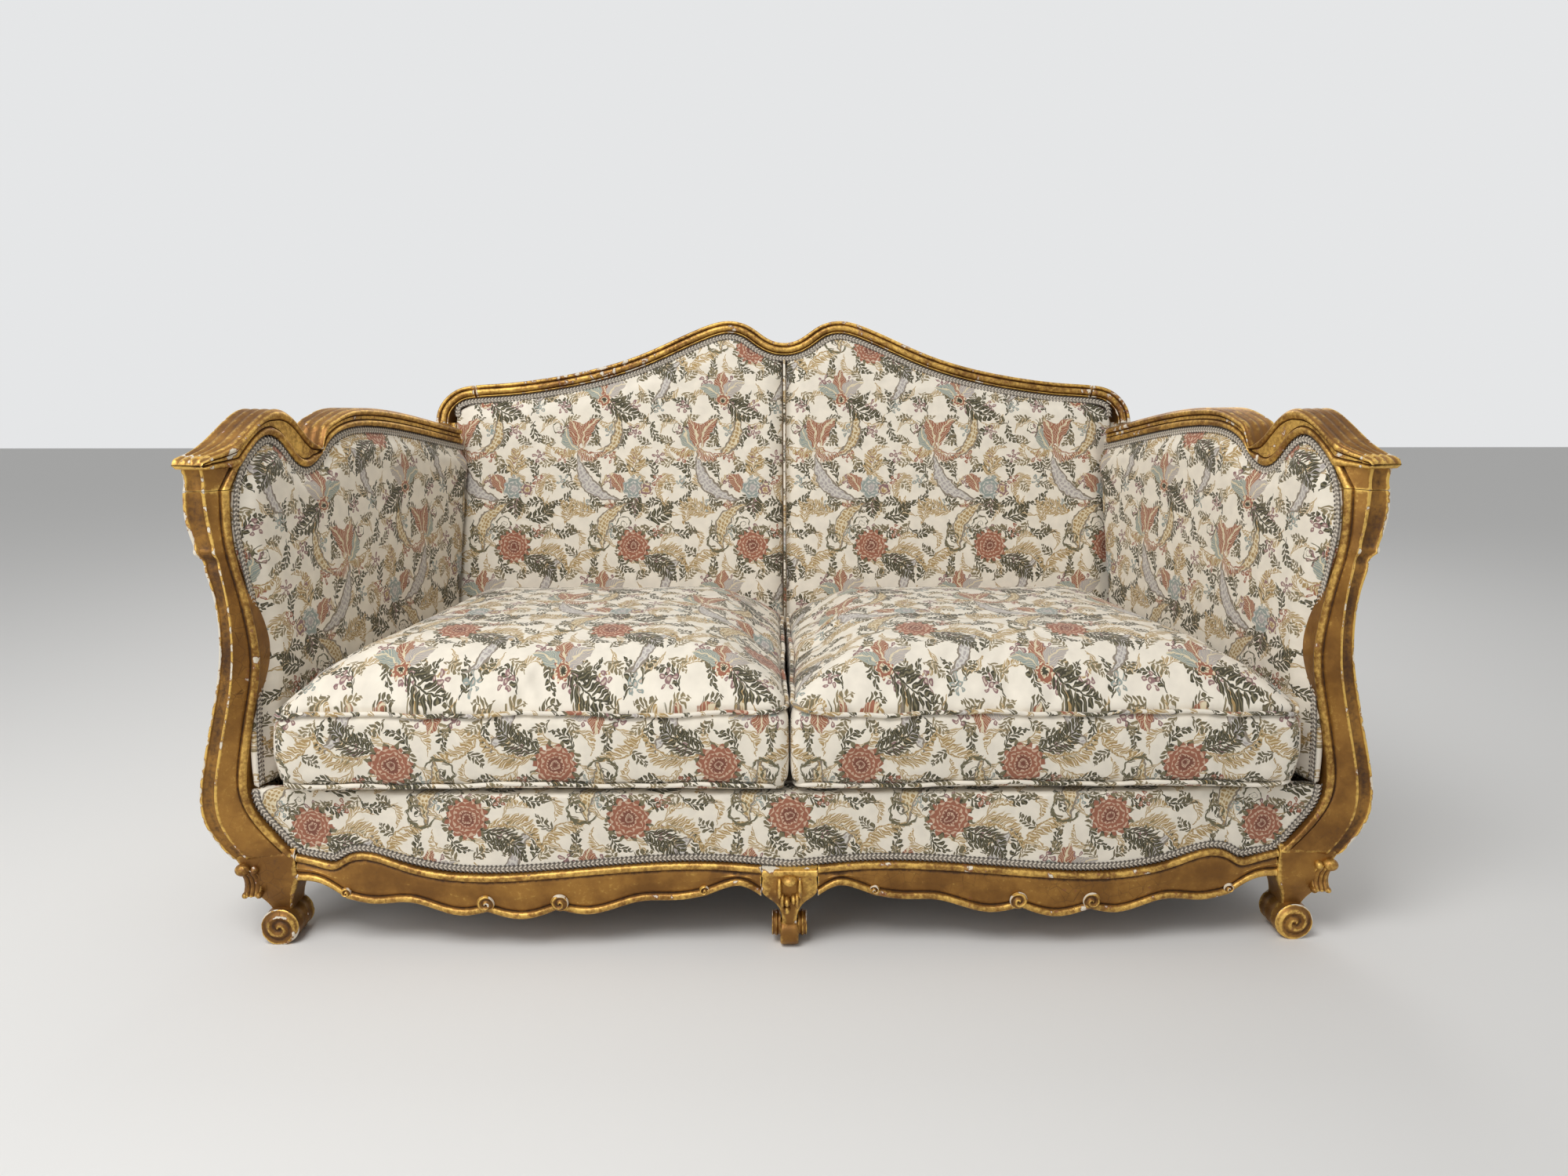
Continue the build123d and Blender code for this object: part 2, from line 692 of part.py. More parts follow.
border = whole(bowed(border_face(cloth_gap), border_set_back, border_back))
border = border - front_post - left(front_post)
nodes["front_border"] = border
gimp_strip = layer(border_face(cloth_gap), 0, reach, front_plane)
gimp_strip = gimp_strip - layer(border_face(cloth_gap + gimp_width), 0, reach, front_plane)
gimp_strip = gimp_strip & layer(plan_band(border_set_back - gimp_thickness, front_rail_y), 0, reach)
gimp_strip = gimp_strip - layer(plan_band(border_set_back, front_rail_y), 0, reach)
nodes["border_gimp"] = whole(gimp_strip) - front_post - left(front_post)

dust_rear = post_front_y + rail_thickness / 2
dust_face = polygon(
    (0, front_rail_y + cloth_gap), (apron_joint_x - cloth_gap, front_rail_y + cloth_gap),
    (apron_joint_x - cloth_gap, post_back + cloth_gap), (arm_x(post_back, rail_inner), post_back + cloth_gap),
    (arm_x(post_front_y, rail_inner) - ledge_back - cloth_gap, post_front_y - cloth_gap),
    (post_inner_x - cloth_gap, dust_rear), (0, dust_rear),
)
nodes["dust_cover"] = whole(layer(dust_face, rail_bottom - dust_cover_thickness, rail_bottom))

# Dowels and their bores
bores = []
dowels = []


def dowel(middle, way):
    """Keeps a dowel, centred on a joint, and its bore."""
    way = Vector(*way)
    start = Vector(*middle) - way * (dowel_length / 2)
    dowels.append(rod(start, way, dowel_length, dowel_radius))
    bores.append(rod(start - way, way, dowel_length + 2, dowel_radius + glue_gap))


apron_dowel_z = (apron_lower_runs[0][0][1] + knee_top) / 2
centre_dowel_z = (apron_lower_runs[5][0][1] + apron_top_points[0][1]) / 2
gilt_middle = crest_points[9][1] - gilt_width * 0.6
for side in (-0.5, 0.5):
    shift = side * dowel_pitch
    dowel((apron_joint_x, (knee_front + front_rail_y) / 2, apron_dowel_z + shift), (1, 0, 0))
    dowel((centre_joint_x, (centre_front + front_rail_y) / 2, centre_dowel_z + shift), (1, 0, 0))
    crest_place = back_plane.from_local_coords((crest_joint_x, gilt_middle, -frame_back / 2 + shift))
    dowel(tuple(crest_place), (1, 0, 0))
    ear_place = in_the_arm(640, post_top, -arm_thickness + dowel_pitch / 2 + shift)
    dowel(tuple(ear_place), (0, 0, 1))
for bore in bores:
    apron = apron - bore
    front_post = front_post - bore
    back_post = back_post - bore
    arm_rail = arm_rail - bore
    crest_rail = crest_rail - bore - left(bore)
    centre_leg = centre_leg - bore - left(bore)
both("apron", apron)
both("front_post", front_post)
both("back_post", back_post)
both("arm_rail", arm_rail)
nodes["crest_rail"] = crest_rail
nodes["centre_leg"] = centre_leg
nodes["frame_dowels"] = Compound([peg.solid() for peg in dowels] + [left(peg).solid() for peg in dowels])

# Loose cushions: a cover with a crowned top and drawn-in sides, and its filling
post_edges = [edge_x for height, outer, arris, edge_x, edge_y, front in post_sections if height > cushion_bottom]
cushion_front_half = min(post_edges) - cushion_post_gap
cushion_rear_half = arm_x(back_y(cushion_bottom), arm_crown) - cushion_arm_gap
cushion_levels = [
    # share of the boxing's height, share of the crown, how far the outline is drawn in
    (0, 0, 14), (0.16, 0, 3), (0.5, 0, 0), (0.84, 0, 2), (1, 0, 8), (1, 0.5, 52), (1, 0.84, 112), (1, 1, 185),
]


def cushion_section(height, drawn):
    """The right cushion's outline in plan at a height."""
    front = cushion_front + drawn
    rear = back_y(height, back_crown) - cushion_back_gap - drawn
    inner = cushion_gap / 2 + drawn
    slope = (cushion_front_half - cushion_rear_half) / (back_y(cushion_bottom) - cushion_front)
    corners = [
        (inner, front),
        (cushion_front_half - (front - cushion_front) * slope - drawn, front),
        (cushion_front_half - (rear - cushion_front) * slope - drawn, rear),
        (inner, rear),
    ]
    sides = []
    for corner, following in zip(corners, corners[1:] + corners[:1]):
        length = hypot(following[0] - corner[0], following[1] - corner[1])
        across = ((corner[1] - following[1]) / length, (following[0] - corner[0]) / length)
        middle = [(a + b) / 2 + n * cushion_draw for a, b, n in zip(corner, following, across)]
        sides.append(ThreePointArc(corner, tuple(middle), following))
    outline = make_face(sides)
    return Pos(0, 0, height) * fillet(outline.vertices(), cushion_corner)


def cushion_form(within):
    """The cushion's form, this far inside its cover's outer face."""
    sections = []
    for side_share, crown_share, drawn in cushion_levels:
        height = cushion_bottom + side_share * cushion_side + crown_share * cushion_crown
        height += within if side_share == 0 else -within if crown_share == 1 else 0
        sections.append(cushion_section(height, drawn + within))
    return loft(sections, ruled=True)


both("cushion_cover", cushion_form(0) - cushion_form(cover_thickness))
both("cushion_filling", cushion_form(cover_thickness + filling_gap))

os.makedirs("parts", exist_ok=True)
for name, solid in sorted(nodes.items()):
    export_step(solid, f"parts/{name}.step")
print(len(nodes), "nodes")
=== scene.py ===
# %% [markdown]
# # A gilt baroque sofa
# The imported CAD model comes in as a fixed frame. Every piece made here sits in that frame, in metres, and
# stands for a CAD piece or is fixed to one. Sizes are written in millimetres, as in a workshop, and turned
# into metres when a mesh is made.

# %% Load the frame
import json
from math import cos, pi, radians, sin, sqrt, tan

import bmesh
import bpy
import numpy as np
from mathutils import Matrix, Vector
from mathutils.bvhtree import BVHTree
from mathutils.kdtree import KDTree
from mathutils.noise import noise


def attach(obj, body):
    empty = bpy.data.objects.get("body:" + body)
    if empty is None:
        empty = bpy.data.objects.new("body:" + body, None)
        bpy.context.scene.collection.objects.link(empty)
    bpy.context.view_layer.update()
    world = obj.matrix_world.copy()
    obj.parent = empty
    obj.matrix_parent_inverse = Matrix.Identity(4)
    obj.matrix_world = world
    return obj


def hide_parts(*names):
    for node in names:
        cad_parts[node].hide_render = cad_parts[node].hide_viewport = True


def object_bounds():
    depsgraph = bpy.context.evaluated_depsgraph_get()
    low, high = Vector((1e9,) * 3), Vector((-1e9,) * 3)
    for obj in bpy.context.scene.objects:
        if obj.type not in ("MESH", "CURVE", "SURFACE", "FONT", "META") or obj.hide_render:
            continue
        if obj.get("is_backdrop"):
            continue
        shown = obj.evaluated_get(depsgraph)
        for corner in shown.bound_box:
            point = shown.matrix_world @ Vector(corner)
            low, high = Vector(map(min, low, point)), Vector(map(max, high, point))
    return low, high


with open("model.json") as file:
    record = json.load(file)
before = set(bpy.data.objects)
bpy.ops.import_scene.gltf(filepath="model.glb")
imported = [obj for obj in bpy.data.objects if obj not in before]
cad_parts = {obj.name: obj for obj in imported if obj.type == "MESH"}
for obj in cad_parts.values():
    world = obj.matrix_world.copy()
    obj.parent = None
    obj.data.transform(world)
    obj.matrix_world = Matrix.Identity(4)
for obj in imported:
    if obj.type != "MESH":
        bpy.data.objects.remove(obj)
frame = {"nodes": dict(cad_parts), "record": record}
cad_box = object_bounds()
nodes = frame["nodes"]
scene = bpy.context.scene
print(len(nodes), "CAD nodes, box", [[round(value, 3) for value in corner] for corner in cad_box])

# %% [markdown]
# ## Camera, floor and light
# The photograph was taken close in front of the sofa with a wide lens, and the camera stands a
# little lower than the back's top and tips down. A large soft lamp high at the front left gives the gilding
# its highlights, a weaker one lower on the left lifts the sides, one behind serves the other views, and the
# world fills the shadows. Camera and glossy rays see a paler world than the one that lights the sofa.

# %% Camera
camera_data = bpy.data.cameras.new("camera")
camera_data.lens = 24.75
camera = bpy.data.objects.new("camera", camera_data)
scene.collection.objects.link(camera)
camera.location = (-0.025, -1.984, 0.92)
camera.rotation_euler = (radians(90 - 12.2), 0, radians(-0.6))
scene.camera = camera
scene.view_settings.view_transform = "Standard"
print("camera at", tuple(camera.location))

# %% Floor, lamps and world
def lamp(name, place, target, size, power):
    """A square soft lamp that looks at a point."""
    data = bpy.data.lights.new(name, "AREA")
    data.size = size
    data.energy = power
    lamp_object = bpy.data.objects.new(name, data)
    lamp_object.location = place
    lamp_object.rotation_euler = (Vector(target) - Vector(place)).to_track_quat("-Z", "Y").to_euler()
    scene.collection.objects.link(lamp_object)


lamp("key_lamp", (-1.0, -1.8, 3.2), (0, 0, 0.5), 1.6, 64)
lamp("fill_lamp", (-2.4, -2.0, 1.8), (0, 0, 0.5), 1.8, 17)
lamp("back_lamp", (0.5, 2.6, 2.6), (0, 0, 0.5), 2.0, 26)

world = bpy.data.worlds.new("studio")
scene.world = world
world.use_nodes = True
backdrop = world.node_tree.nodes["Background"].inputs
ray = world.node_tree.nodes.new("ShaderNodeLightPath")
shown = world.node_tree.nodes.new("ShaderNodeMix")
lighting_strength, backdrop_strength = 0.42, 0.80
shown.inputs[2].default_value = lighting_strength
shown.inputs[3].default_value = backdrop_strength
seen = ray.outputs["Is Camera Ray"]
for kind in ("Is Glossy Ray", "Is Transmission Ray"):
    either = world.node_tree.nodes.new("ShaderNodeMath")
    either.operation = "MAXIMUM"
    world.node_tree.links.new(seen, either.inputs[0])
    world.node_tree.links.new(ray.outputs[kind], either.inputs[1])
    seen = either.outputs[0]
world.node_tree.links.new(seen, shown.inputs[0])
world.node_tree.links.new(shown.outputs[0], backdrop["Strength"])
backdrop["Color"].default_value = (0.98, 0.99, 1.0, 1)

floor_mesh = bpy.data.meshes.new("floor")
floor_mesh.from_pydata([(-9, -9, 0), (9, -9, 0), (9, 9, 0), (-9, 9, 0)], [], [(0, 1, 2, 3)])
floor = bpy.data.objects.new("floor", floor_mesh)
scene.collection.objects.link(floor)
floor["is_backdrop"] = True
floor_finish = bpy.data.materials.new("pale_floor")
floor_finish.use_nodes = True
floor_finish.node_tree.nodes["Principled BSDF"].inputs["Base Color"].default_value = (0.78, 0.77, 0.75, 1)
floor_finish.node_tree.nodes["Principled BSDF"].inputs["Roughness"].default_value = 0.8
floor_mesh.materials.append(floor_finish)
print("stage set")

# %% [markdown]
# ## Node trees in short
# Shader and geometry trees are long when each node and link is a line of its own. This small helper adds a
# node, fills its sockets in order with a number, a colour or another node's output, and gives an output back.

# %% Node helper
class Web:
    """A node tree being wired."""

    def __init__(self, tree):
        self.tree = tree

    def add(self, kind, *fillings, out=0, **settings):
        """Adds a node, sets its properties, fills its sockets in order and returns an output socket."""
        node = self.tree.nodes.new(kind)
        for setting, value in settings.items():
            setattr(node, setting, value)
        sockets = [socket for socket in node.inputs if socket.enabled]
        for socket, filling in zip(sockets, fillings):
            self.fill(socket, filling)
        return node.outputs[out] if isinstance(out, (int, str)) else node

    def fill(self, socket, filling):
        """Links an output to a socket, or sets the socket's value."""
        if filling is None:
            return
        if isinstance(filling, bpy.types.NodeSocket):
            self.tree.links.new(filling, socket)
        else:
            socket.default_value = filling

    def math(self, operation, *values, clamp=False):
        return self.add("ShaderNodeMath", *values, operation=operation, use_clamp=clamp)

    def vector(self, operation, *values, out=0):
        return self.add("ShaderNodeVectorMath", *values, operation=operation, out=out)

    def mix(self, share, low, high):
        """A colour between two colours."""
        node = self.add("ShaderNodeMix", out=None, data_type="RGBA")
        self.fill(node.inputs[0], share)
        self.fill(node.inputs[6], low)
        self.fill(node.inputs[7], high)
        return node.outputs[2]

    def ramp(self, value, low, high):
        """0 below low, 1 above high, and smooth between."""
        node = self.add("ShaderNodeMapRange", out=None, interpolation_type="SMOOTHSTEP")
        for socket, filling in zip(node.inputs[:3], (value, low, high)):
            self.fill(socket, filling)
        return node.outputs[0]


def linear(red, green, blue):
    """A colour written as in a paint program, as the renderer's own values."""
    shares = [value / 255 for value in (red, green, blue)]
    return tuple(s / 12.92 if s < 0.04045 else ((s + 0.055) / 1.055) ** 2.4 for s in shares) + (1,)


def shader_group(name, takes, gives):
    """A new shader group with named inputs and outputs, and a Web to wire it."""
    tree = bpy.data.node_groups.new(name, "ShaderNodeTree")
    kinds = {"value": "NodeSocketFloat", "vector": "NodeSocketVector", "colour": "NodeSocketColor"}
    for title, (kind, start) in takes.items():
        socket = tree.interface.new_socket(title, in_out="INPUT", socket_type=kinds[kind])
        if start is not None:
            socket.default_value = start
    for title, kind in gives.items():
        tree.interface.new_socket(title, in_out="OUTPUT", socket_type=kinds[kind])
    web = Web(tree)
    inputs = tree.nodes.new("NodeGroupInput").outputs
    results = tree.nodes.new("NodeGroupOutput").inputs
    return web, inputs, results


def place_group(web, name, **fillings):
    """Places a shader group in a tree and returns its outputs."""
    node = web.tree.nodes.new("ShaderNodeGroup")
    node.node_tree = bpy.data.node_groups[name]
    for title, filling in fillings.items():
        web.fill(node.inputs[title.replace("_", " ")], filling)
    return node.outputs


def new_material(name):
    """A material with only a Principled BSDF, and a Web to wire it."""
    material = bpy.data.materials.new(name)
    material.use_nodes = True
    shader = material.node_tree.nodes["Principled BSDF"]
    return material, Web(material.node_tree), shader.inputs


print("node helper ready")

# %% [markdown]
# ## The brocade
# The cover is a woven floral brocade on ivory. Each kind of motif is a small shader group that draws masks on
# its own place, which runs from -1 to 1: a bloom with rings of petals, a petal with veins, a sprig with
# leaves beside a bent stem, a band with two edges and dots, a curl and a bunch of berries. One more group
# scatters places over a grid in the repeat.

# %% Motif groups: blooms and petals
repeat_width, repeat_height = 0.25, 0.42
web, given, result = shader_group(
    "bloom",
    {"Place": ("vector", None), "Petals": ("value", 9.0), "Depth": ("value", 0.3), "Rings": ("value", 3.0)},
    {"Mask": "value", "Gap": "value", "Radius": "value"},
)
parts = web.add("ShaderNodeSeparateXYZ", given["Place"], out=None).outputs
radius = web.vector("LENGTH", given["Place"], out=1)
ring = web.math("MULTIPLY", radius, given["Rings"])
angle = web.math("MULTIPLY", web.math("ARCTAN2", parts[1], parts[0]), given["Petals"])
petal = web.math("COSINE", web.math("MULTIPLY_ADD", web.math("FLOOR", ring), pi, angle))
petal = web.math("MULTIPLY_ADD", petal, 0.5, 0.5)
outline = web.math("MULTIPLY", given["Depth"], web.math("MULTIPLY_ADD", web.math("COSINE", angle), -0.5, 0.5))
inward = web.math("SUBTRACT", web.math("SUBTRACT", 1.0, outline), radius)
web.fill(result["Mask"], web.ramp(inward, 0.0, 0.06))
past_petal = web.math("SUBTRACT", web.math("FRACT", ring), web.math("MULTIPLY_ADD", petal, 0.45, 0.45))
web.fill(result["Gap"], web.ramp(past_petal, -0.02, 0.10))
web.fill(result["Radius"], radius)

web, given, result = shader_group(
    "petal",
    {"Place": ("vector", None), "Width": ("value", 0.4), "Veins": ("value", 4.0), "Bend": ("value", 0.0)},
    {"Mask": "value", "Vein": "value"},
)
parts = web.add("ShaderNodeSeparateXYZ", given["Place"], out=None).outputs
square = web.math("MULTIPLY", parts[0], parts[0])
across = web.math("ABSOLUTE", web.math("SUBTRACT", parts[1], web.math("MULTIPLY", given["Bend"], square)))
reach = web.math("MULTIPLY", given["Width"], web.math("SUBTRACT", 1.0, square))
web.fill(result["Mask"], web.ramp(web.math("SUBTRACT", reach, across), 0.0, 0.05))
chevron = web.math("MULTIPLY", web.math("MULTIPLY_ADD", across, -1.5, parts[0]), given["Veins"])
chevron = web.ramp(web.math("PINGPONG", chevron, 0.5), 0.36, 0.46)
web.fill(result["Vein"], web.math("MAXIMUM", chevron, web.ramp(across, 0.07, 0.03)))

# %% Motif groups: sprigs, bands, curls and berries
web, given, result = shader_group(
    "sprig",
    {
        "Place": ("vector", None), "Bend": ("value", 0.0), "Leaves": ("value", 5.0), "Reach": ("value", 0.4),
        "Fat": ("value", 0.8), "Side": ("value", 0.0), "Lean": ("value", 0.7),
    },
    {"Mask": "value", "Vein": "value"},
)
parts = web.add("ShaderNodeSeparateXYZ", given["Place"], out=None).outputs
square = web.math("MULTIPLY", parts[0], parts[0])
across = web.math("SUBTRACT", parts[1], web.math("MULTIPLY", given["Bend"], square))
away = web.math("ABSOLUTE", across)
inside = web.math("SUBTRACT", 1.0, square)
share = web.math("DIVIDE", away, web.math("MULTIPLY", given["Reach"], inside))
stagger = web.math("MULTIPLY", web.math("GREATER_THAN", across, 0.0), 0.5)
step = web.math("SUBTRACT", parts[0], web.math("MULTIPLY", away, given["Lean"]))
step = web.math("MULTIPLY_ADD", step, web.math("MULTIPLY", given["Leaves"], 0.5), stagger)
off_leaf = web.math("ABSOLUTE", web.math("SUBTRACT", web.math("FRACT", step), 0.5))
leaf = web.math("MULTIPLY", web.math("MULTIPLY", share, web.math("SUBTRACT", 1.0, share)), given["Fat"])
leaf = web.ramp(web.math("SUBTRACT", web.math("MULTIPLY", leaf, 2.0), off_leaf), 0.0, 0.10)
stem = web.math("MULTIPLY", web.ramp(away, 0.045, 0.025), web.math("GREATER_THAN", inside, 0.0))
sided = web.math("GREATER_THAN", web.math("MULTIPLY", across, given["Side"]), -0.05)
web.fill(result["Mask"], web.math("MULTIPLY", web.math("MAXIMUM", leaf, stem), sided))
web.fill(result["Vein"], web.ramp(off_leaf, 0.12, 0.05))

web, given, result = shader_group(
    "band",
    {"Place": ("vector", None), "Bend": ("value", 0.0), "Swing": ("value", 0.0), "Width": ("value", 0.2)},
    {"Edge": "value", "Mask": "value", "Dots": "value"},
)
parts = web.add("ShaderNodeSeparateXYZ", given["Place"], out=None).outputs
square = web.math("MULTIPLY", parts[0], parts[0])
wave = web.math("MULTIPLY", given["Swing"], web.math("SINE", web.math("MULTIPLY", parts[0], 2.6)))
across = web.math("SUBTRACT", parts[1], web.math("MULTIPLY_ADD", given["Bend"], square, wave))
reach = web.math("MULTIPLY", given["Width"], web.math("SUBTRACT", 1.0, square))
inward = web.math("SUBTRACT", reach, web.math("ABSOLUTE", across))
web.fill(result["Mask"], web.ramp(inward, 0.0, 0.02))
web.fill(result["Edge"], web.math("MULTIPLY", web.ramp(inward, 0.0, 0.01), web.ramp(inward, 0.06, 0.045)))
row = web.math("SINE", web.math("MULTIPLY", parts[0], 24.0))
dots = web.math("MULTIPLY", row, web.math("COSINE", web.math("MULTIPLY", across, 30.0)))
web.fill(result["Dots"], web.ramp(web.math("ABSOLUTE", dots), 0.35, 0.5))

web, given, result = shader_group(
    "curl", {"Place": ("vector", None), "Turns": ("value", 0.7), "Leaves": ("value", 5.0)}, {"Mask": "value"}
)
parts = web.add("ShaderNodeSeparateXYZ", given["Place"], out=None).outputs
radius = web.vector("LENGTH", given["Place"], out=1)
angle = web.math("MULTIPLY", web.math("ARCTAN2", parts[1], parts[0]), 0.5 / pi)
winding = web.math("MULTIPLY", web.math("LOGARITHM", radius, 2.0), given["Turns"])
round_line = web.math("FRACT", web.math("SUBTRACT", angle, winding))
off_line = web.math("ABSOLUTE", web.math("SUBTRACT", round_line, 0.5))
tuft = web.math("PINGPONG", web.math("MULTIPLY", web.math("SUBTRACT", angle, off_line), given["Leaves"]), 0.5)
thick = web.math("MULTIPLY_ADD", tuft, 0.22, 0.05)
ends = web.math("MULTIPLY", web.ramp(radius, 1.0, 0.92), web.ramp(radius, 0.10, 0.14))
line = web.ramp(web.math("SUBTRACT", thick, off_line), 0.0, 0.03)
web.fill(result["Mask"], web.math("MULTIPLY", line, ends))

web, given, result = shader_group(
    "berries", {"Place": ("vector", None), "Count": ("value", 5.0)}, {"Mask": "value", "Heart": "value"}
)
parts = web.add("ShaderNodeSeparateXYZ", given["Place"], out=None).outputs
radius = web.vector("LENGTH", given["Place"], out=1)
angle = web.math("MULTIPLY", web.math("ARCTAN2", parts[1], parts[0]), given["Count"])
beside = web.math("MULTIPLY", web.math("SINE", web.math("MULTIPLY", angle, 0.5)), 0.42)
apart = web.add("ShaderNodeCombineXYZ", web.math("SUBTRACT", radius, 0.62), beside)
apart = web.math("MINIMUM", web.vector("LENGTH", apart, out=1), radius)
web.fill(result["Mask"], web.ramp(apart, 0.32, 0.26))
web.fill(result["Heart"], web.ramp(apart, 0.16, 0.10))

web, given, result = shader_group(
    "scatter",
    {"Cloth": ("vector", None), "Cells": ("vector", None), "Shift": ("vector", None), "Size": ("value", 0.9)},
    {"Place": "vector", "Chance": "value", "Kind": "value"},
)
repeats = web.vector("MULTIPLY", given["Cloth"], (1 / repeat_width, 1 / repeat_height, 0))
cell = web.vector("MULTIPLY_ADD", repeats, given["Cells"], given["Shift"])
number = web.vector("WRAP", web.vector("FLOOR", cell), given["Cells"], (0, 0, 0))
chances = web.add("ShaderNodeTexWhiteNoise", web.vector("ADD", number, given["Shift"]), out="Color")
chances = web.add("ShaderNodeSeparateColor", chances, out=None).outputs
local = web.vector("MULTIPLY_ADD", web.vector("FRACTION", cell), (2, 2, 0), (-1, -1, 0))
scaled = web.add("ShaderNodeVectorMath", local, operation="SCALE", out=None)
web.fill(scaled.inputs["Scale"], web.math("DIVIDE", 1.0, given["Size"]))
turned = web.add("ShaderNodeVectorRotate", out=None, rotation_type="Z_AXIS")
web.fill(turned.inputs["Vector"], scaled.outputs[0])
web.fill(turned.inputs["Angle"], web.math("MULTIPLY", chances[0], 2 * pi))
web.fill(result["Place"], turned.outputs[0])
web.fill(result["Chance"], chances[1])
web.fill(result["Kind"], chances[2])
print("motif groups:", [group.name for group in bpy.data.node_groups])

# %% [markdown]
# The repeat is about 250 mm wide and 420 mm high. Three large flowers climb it, a rust chrysanthemum, a
# blue-grey pomegranate and a tulip, and bands, ferns, plumes and sprigs fill the ground between them. Each
# motif wraps round the repeat by itself, so no seam shows where one repeat meets the next. Its place takes in
# a trace of the colour so far, far too little to see: that makes the renderer work through the motifs one
# after another, where it would hold the masks of all of them at once and run out of room.

# %% Brocade group
ivory = linear(238, 229, 212)
rust = linear(158, 100, 76)
deep_rust = linear(122, 72, 56)
olive = linear(62, 58, 40)
pale_olive = linear(118, 110, 82)
teal_grey = linear(148, 157, 149)
ochre = linear(174, 144, 94)
pale_ochre = linear(222, 207, 174)
mauve = linear(144, 110, 108)
lilac_grey = linear(178, 169, 164)
pale_grey = linear(210, 204, 194)

web, given, result = shader_group("brocade", {"Cloth": ("vector", None)}, {"Colour": "colour"})
wobble = web.add("ShaderNodeTexNoise", given["Cloth"], 85.0, 1.0, out=1)
wobble = web.vector("SUBTRACT", wobble, (0.5, 0.5, 0.5))
cloth = web.vector("MULTIPLY_ADD", wobble, (0.012, 0.012, 0), given["Cloth"])
half_repeat = (repeat_width / 2, repeat_height / 2, 1)
minus_half = tuple(-value for value in half_repeat)
trace = (1e-8, 1e-8, 0)
colour = web.add("ShaderNodeRGB")
colour.default_value = ivory


def spot(across, up, size, turn):
    """The place of one motif: its centre and half length in millimetres, its turn in degrees."""
    centre = web.vector("MULTIPLY_ADD", colour, trace, (-across / 1000, -up / 1000, 0))
    offset = web.vector("WRAP", web.vector("ADD", cloth, centre), half_repeat, minus_half)
    place = web.add("ShaderNodeMapping", offset, out=None, vector_type="TEXTURE")
    place.inputs["Rotation"].default_value = (0, 0, radians(turn))
    place.inputs["Scale"].default_value = (size / 1000, size / 1000, 1)
    return place.outputs[0]


def scatter(columns, rows, shift, size):
    """A place in every cell of a grid over the repeat, each turned by chance."""
    traced = web.vector("MULTIPLY_ADD", colour, trace, cloth)
    return place_group(web, "scatter", Cloth=traced, Cells=(columns, rows, 1), Shift=shift, Size=size)


def lay(mask, tint):
    """Weaves a colour over what is there."""
    global colour
    colour = web.mix(mask, colour, tint)


def lay_sprig(place, tint, vein, **shape):
    leaves = place_group(web, "sprig", Place=place, **shape)
    lay(leaves["Mask"], web.mix(leaves["Vein"], tint, vein))


small = scatter(4, 7, (0.3, 0.2, 3), 0.82)
lay_sprig(small["Place"], ochre, pale_ochre, Bend=-0.5, Leaves=7.0, Reach=0.6, Fat=0.9, Side=1.0, Lean=0.9)
small = scatter(4, 6, (0.8, 0.15, 7), 0.80)
lay_sprig(small["Place"], olive, pale_olive, Bend=0.45, Leaves=6.0, Reach=0.42, Fat=0.85)
small = scatter(5, 8, (0.45, 0.9, 11), 0.62)
bunch = place_group(web, "berries", Place=small["Place"])
tint = web.mix(web.ramp(small["Kind"], 0.8, 0.81), rust, teal_grey)
tint = web.mix(web.ramp(small["Kind"], 0.55, 0.56), mauve, tint)
picked = web.math("MULTIPLY", bunch["Mask"], web.math("GREATER_THAN", small["Chance"], 0.4))
lay(picked, web.mix(bunch["Heart"], tint, linear(206, 188, 170)))
small = scatter(5, 9, (0.1, 0.75, 17), 0.76)
shape = {"Bend": -0.3, "Leaves": 5.0, "Reach": 0.6, "Fat": 0.85}
lay_sprig(small["Place"], web.mix(small["Kind"], olive, linear(160, 142, 106)), pale_olive, **shape)

bands = [
    # across, up, half length, turn, bend, swing, width, ground, dots
    (-92, 128, 70, -48, 0.42, 0.0, 0.22, pale_grey, lilac_grey),
    (-60, 52, 60, 62, -0.5, 0.0, 0.24, pale_ochre, ochre),
    (-36, 226, 66, 66, 0.5, 0.0, 0.18, pale_ochre, ochre),
    (72, 352, 62, 48, 0.0, 0.16, 0.18, pale_grey, lilac_grey),
]
for across, up, size, turn, bend, swing, width, ground, dots in bands:
    band = place_group(web, "band", Place=spot(across, up, size, turn), Bend=bend, Swing=swing, Width=width)
    lay(band["Mask"], web.mix(band["Dots"], ground, dots))
    lay(band["Edge"], linear(140, 128, 112))

leaves = [
    # across, up, half length, turn, bend, leaves, reach, side, tint, vein
    (-108, -14, 46, 30, -0.45, 9, 0.5, -1, ochre, pale_ochre),
    (80, -18, 48, -24, -0.4, 11, 0.6, 1, ochre, pale_ochre),
    (62, -38, 46, -36, -0.3, 13, 0.5, 0, olive, pale_olive),
    (-140, 206, 36, 196, -0.5, 9, 0.7, 1, ochre, pale_ochre),
    (-94, 198, 36, -20, 0.4, 9, 0.7, -1, rust, pale_ochre),
    (46, 124, 32, 78, -0.9, 9, 0.55, -1, ochre, pale_ochre),
    (6, 176, 30, 84, 0.3, 5, 0.8, 0, ochre, pale_ochre),
    (-24, 284, 42, -30, 0.3, 8, 0.6, 0, olive, pale_olive),
    (2, 86, 28, -98, 0.2, 6, 0.7, 0, olive, pale_olive),
    (60, 66, 34, 28, 0.3, 7, 0.6, 0, olive, pale_olive),
    (-112, 78, 32, 150, -0.3, 7, 0.6, 0, ochre, pale_ochre),
    (112, 74, 26, 100, 0.4, 6, 0.6, 0, ochre, pale_ochre),
]
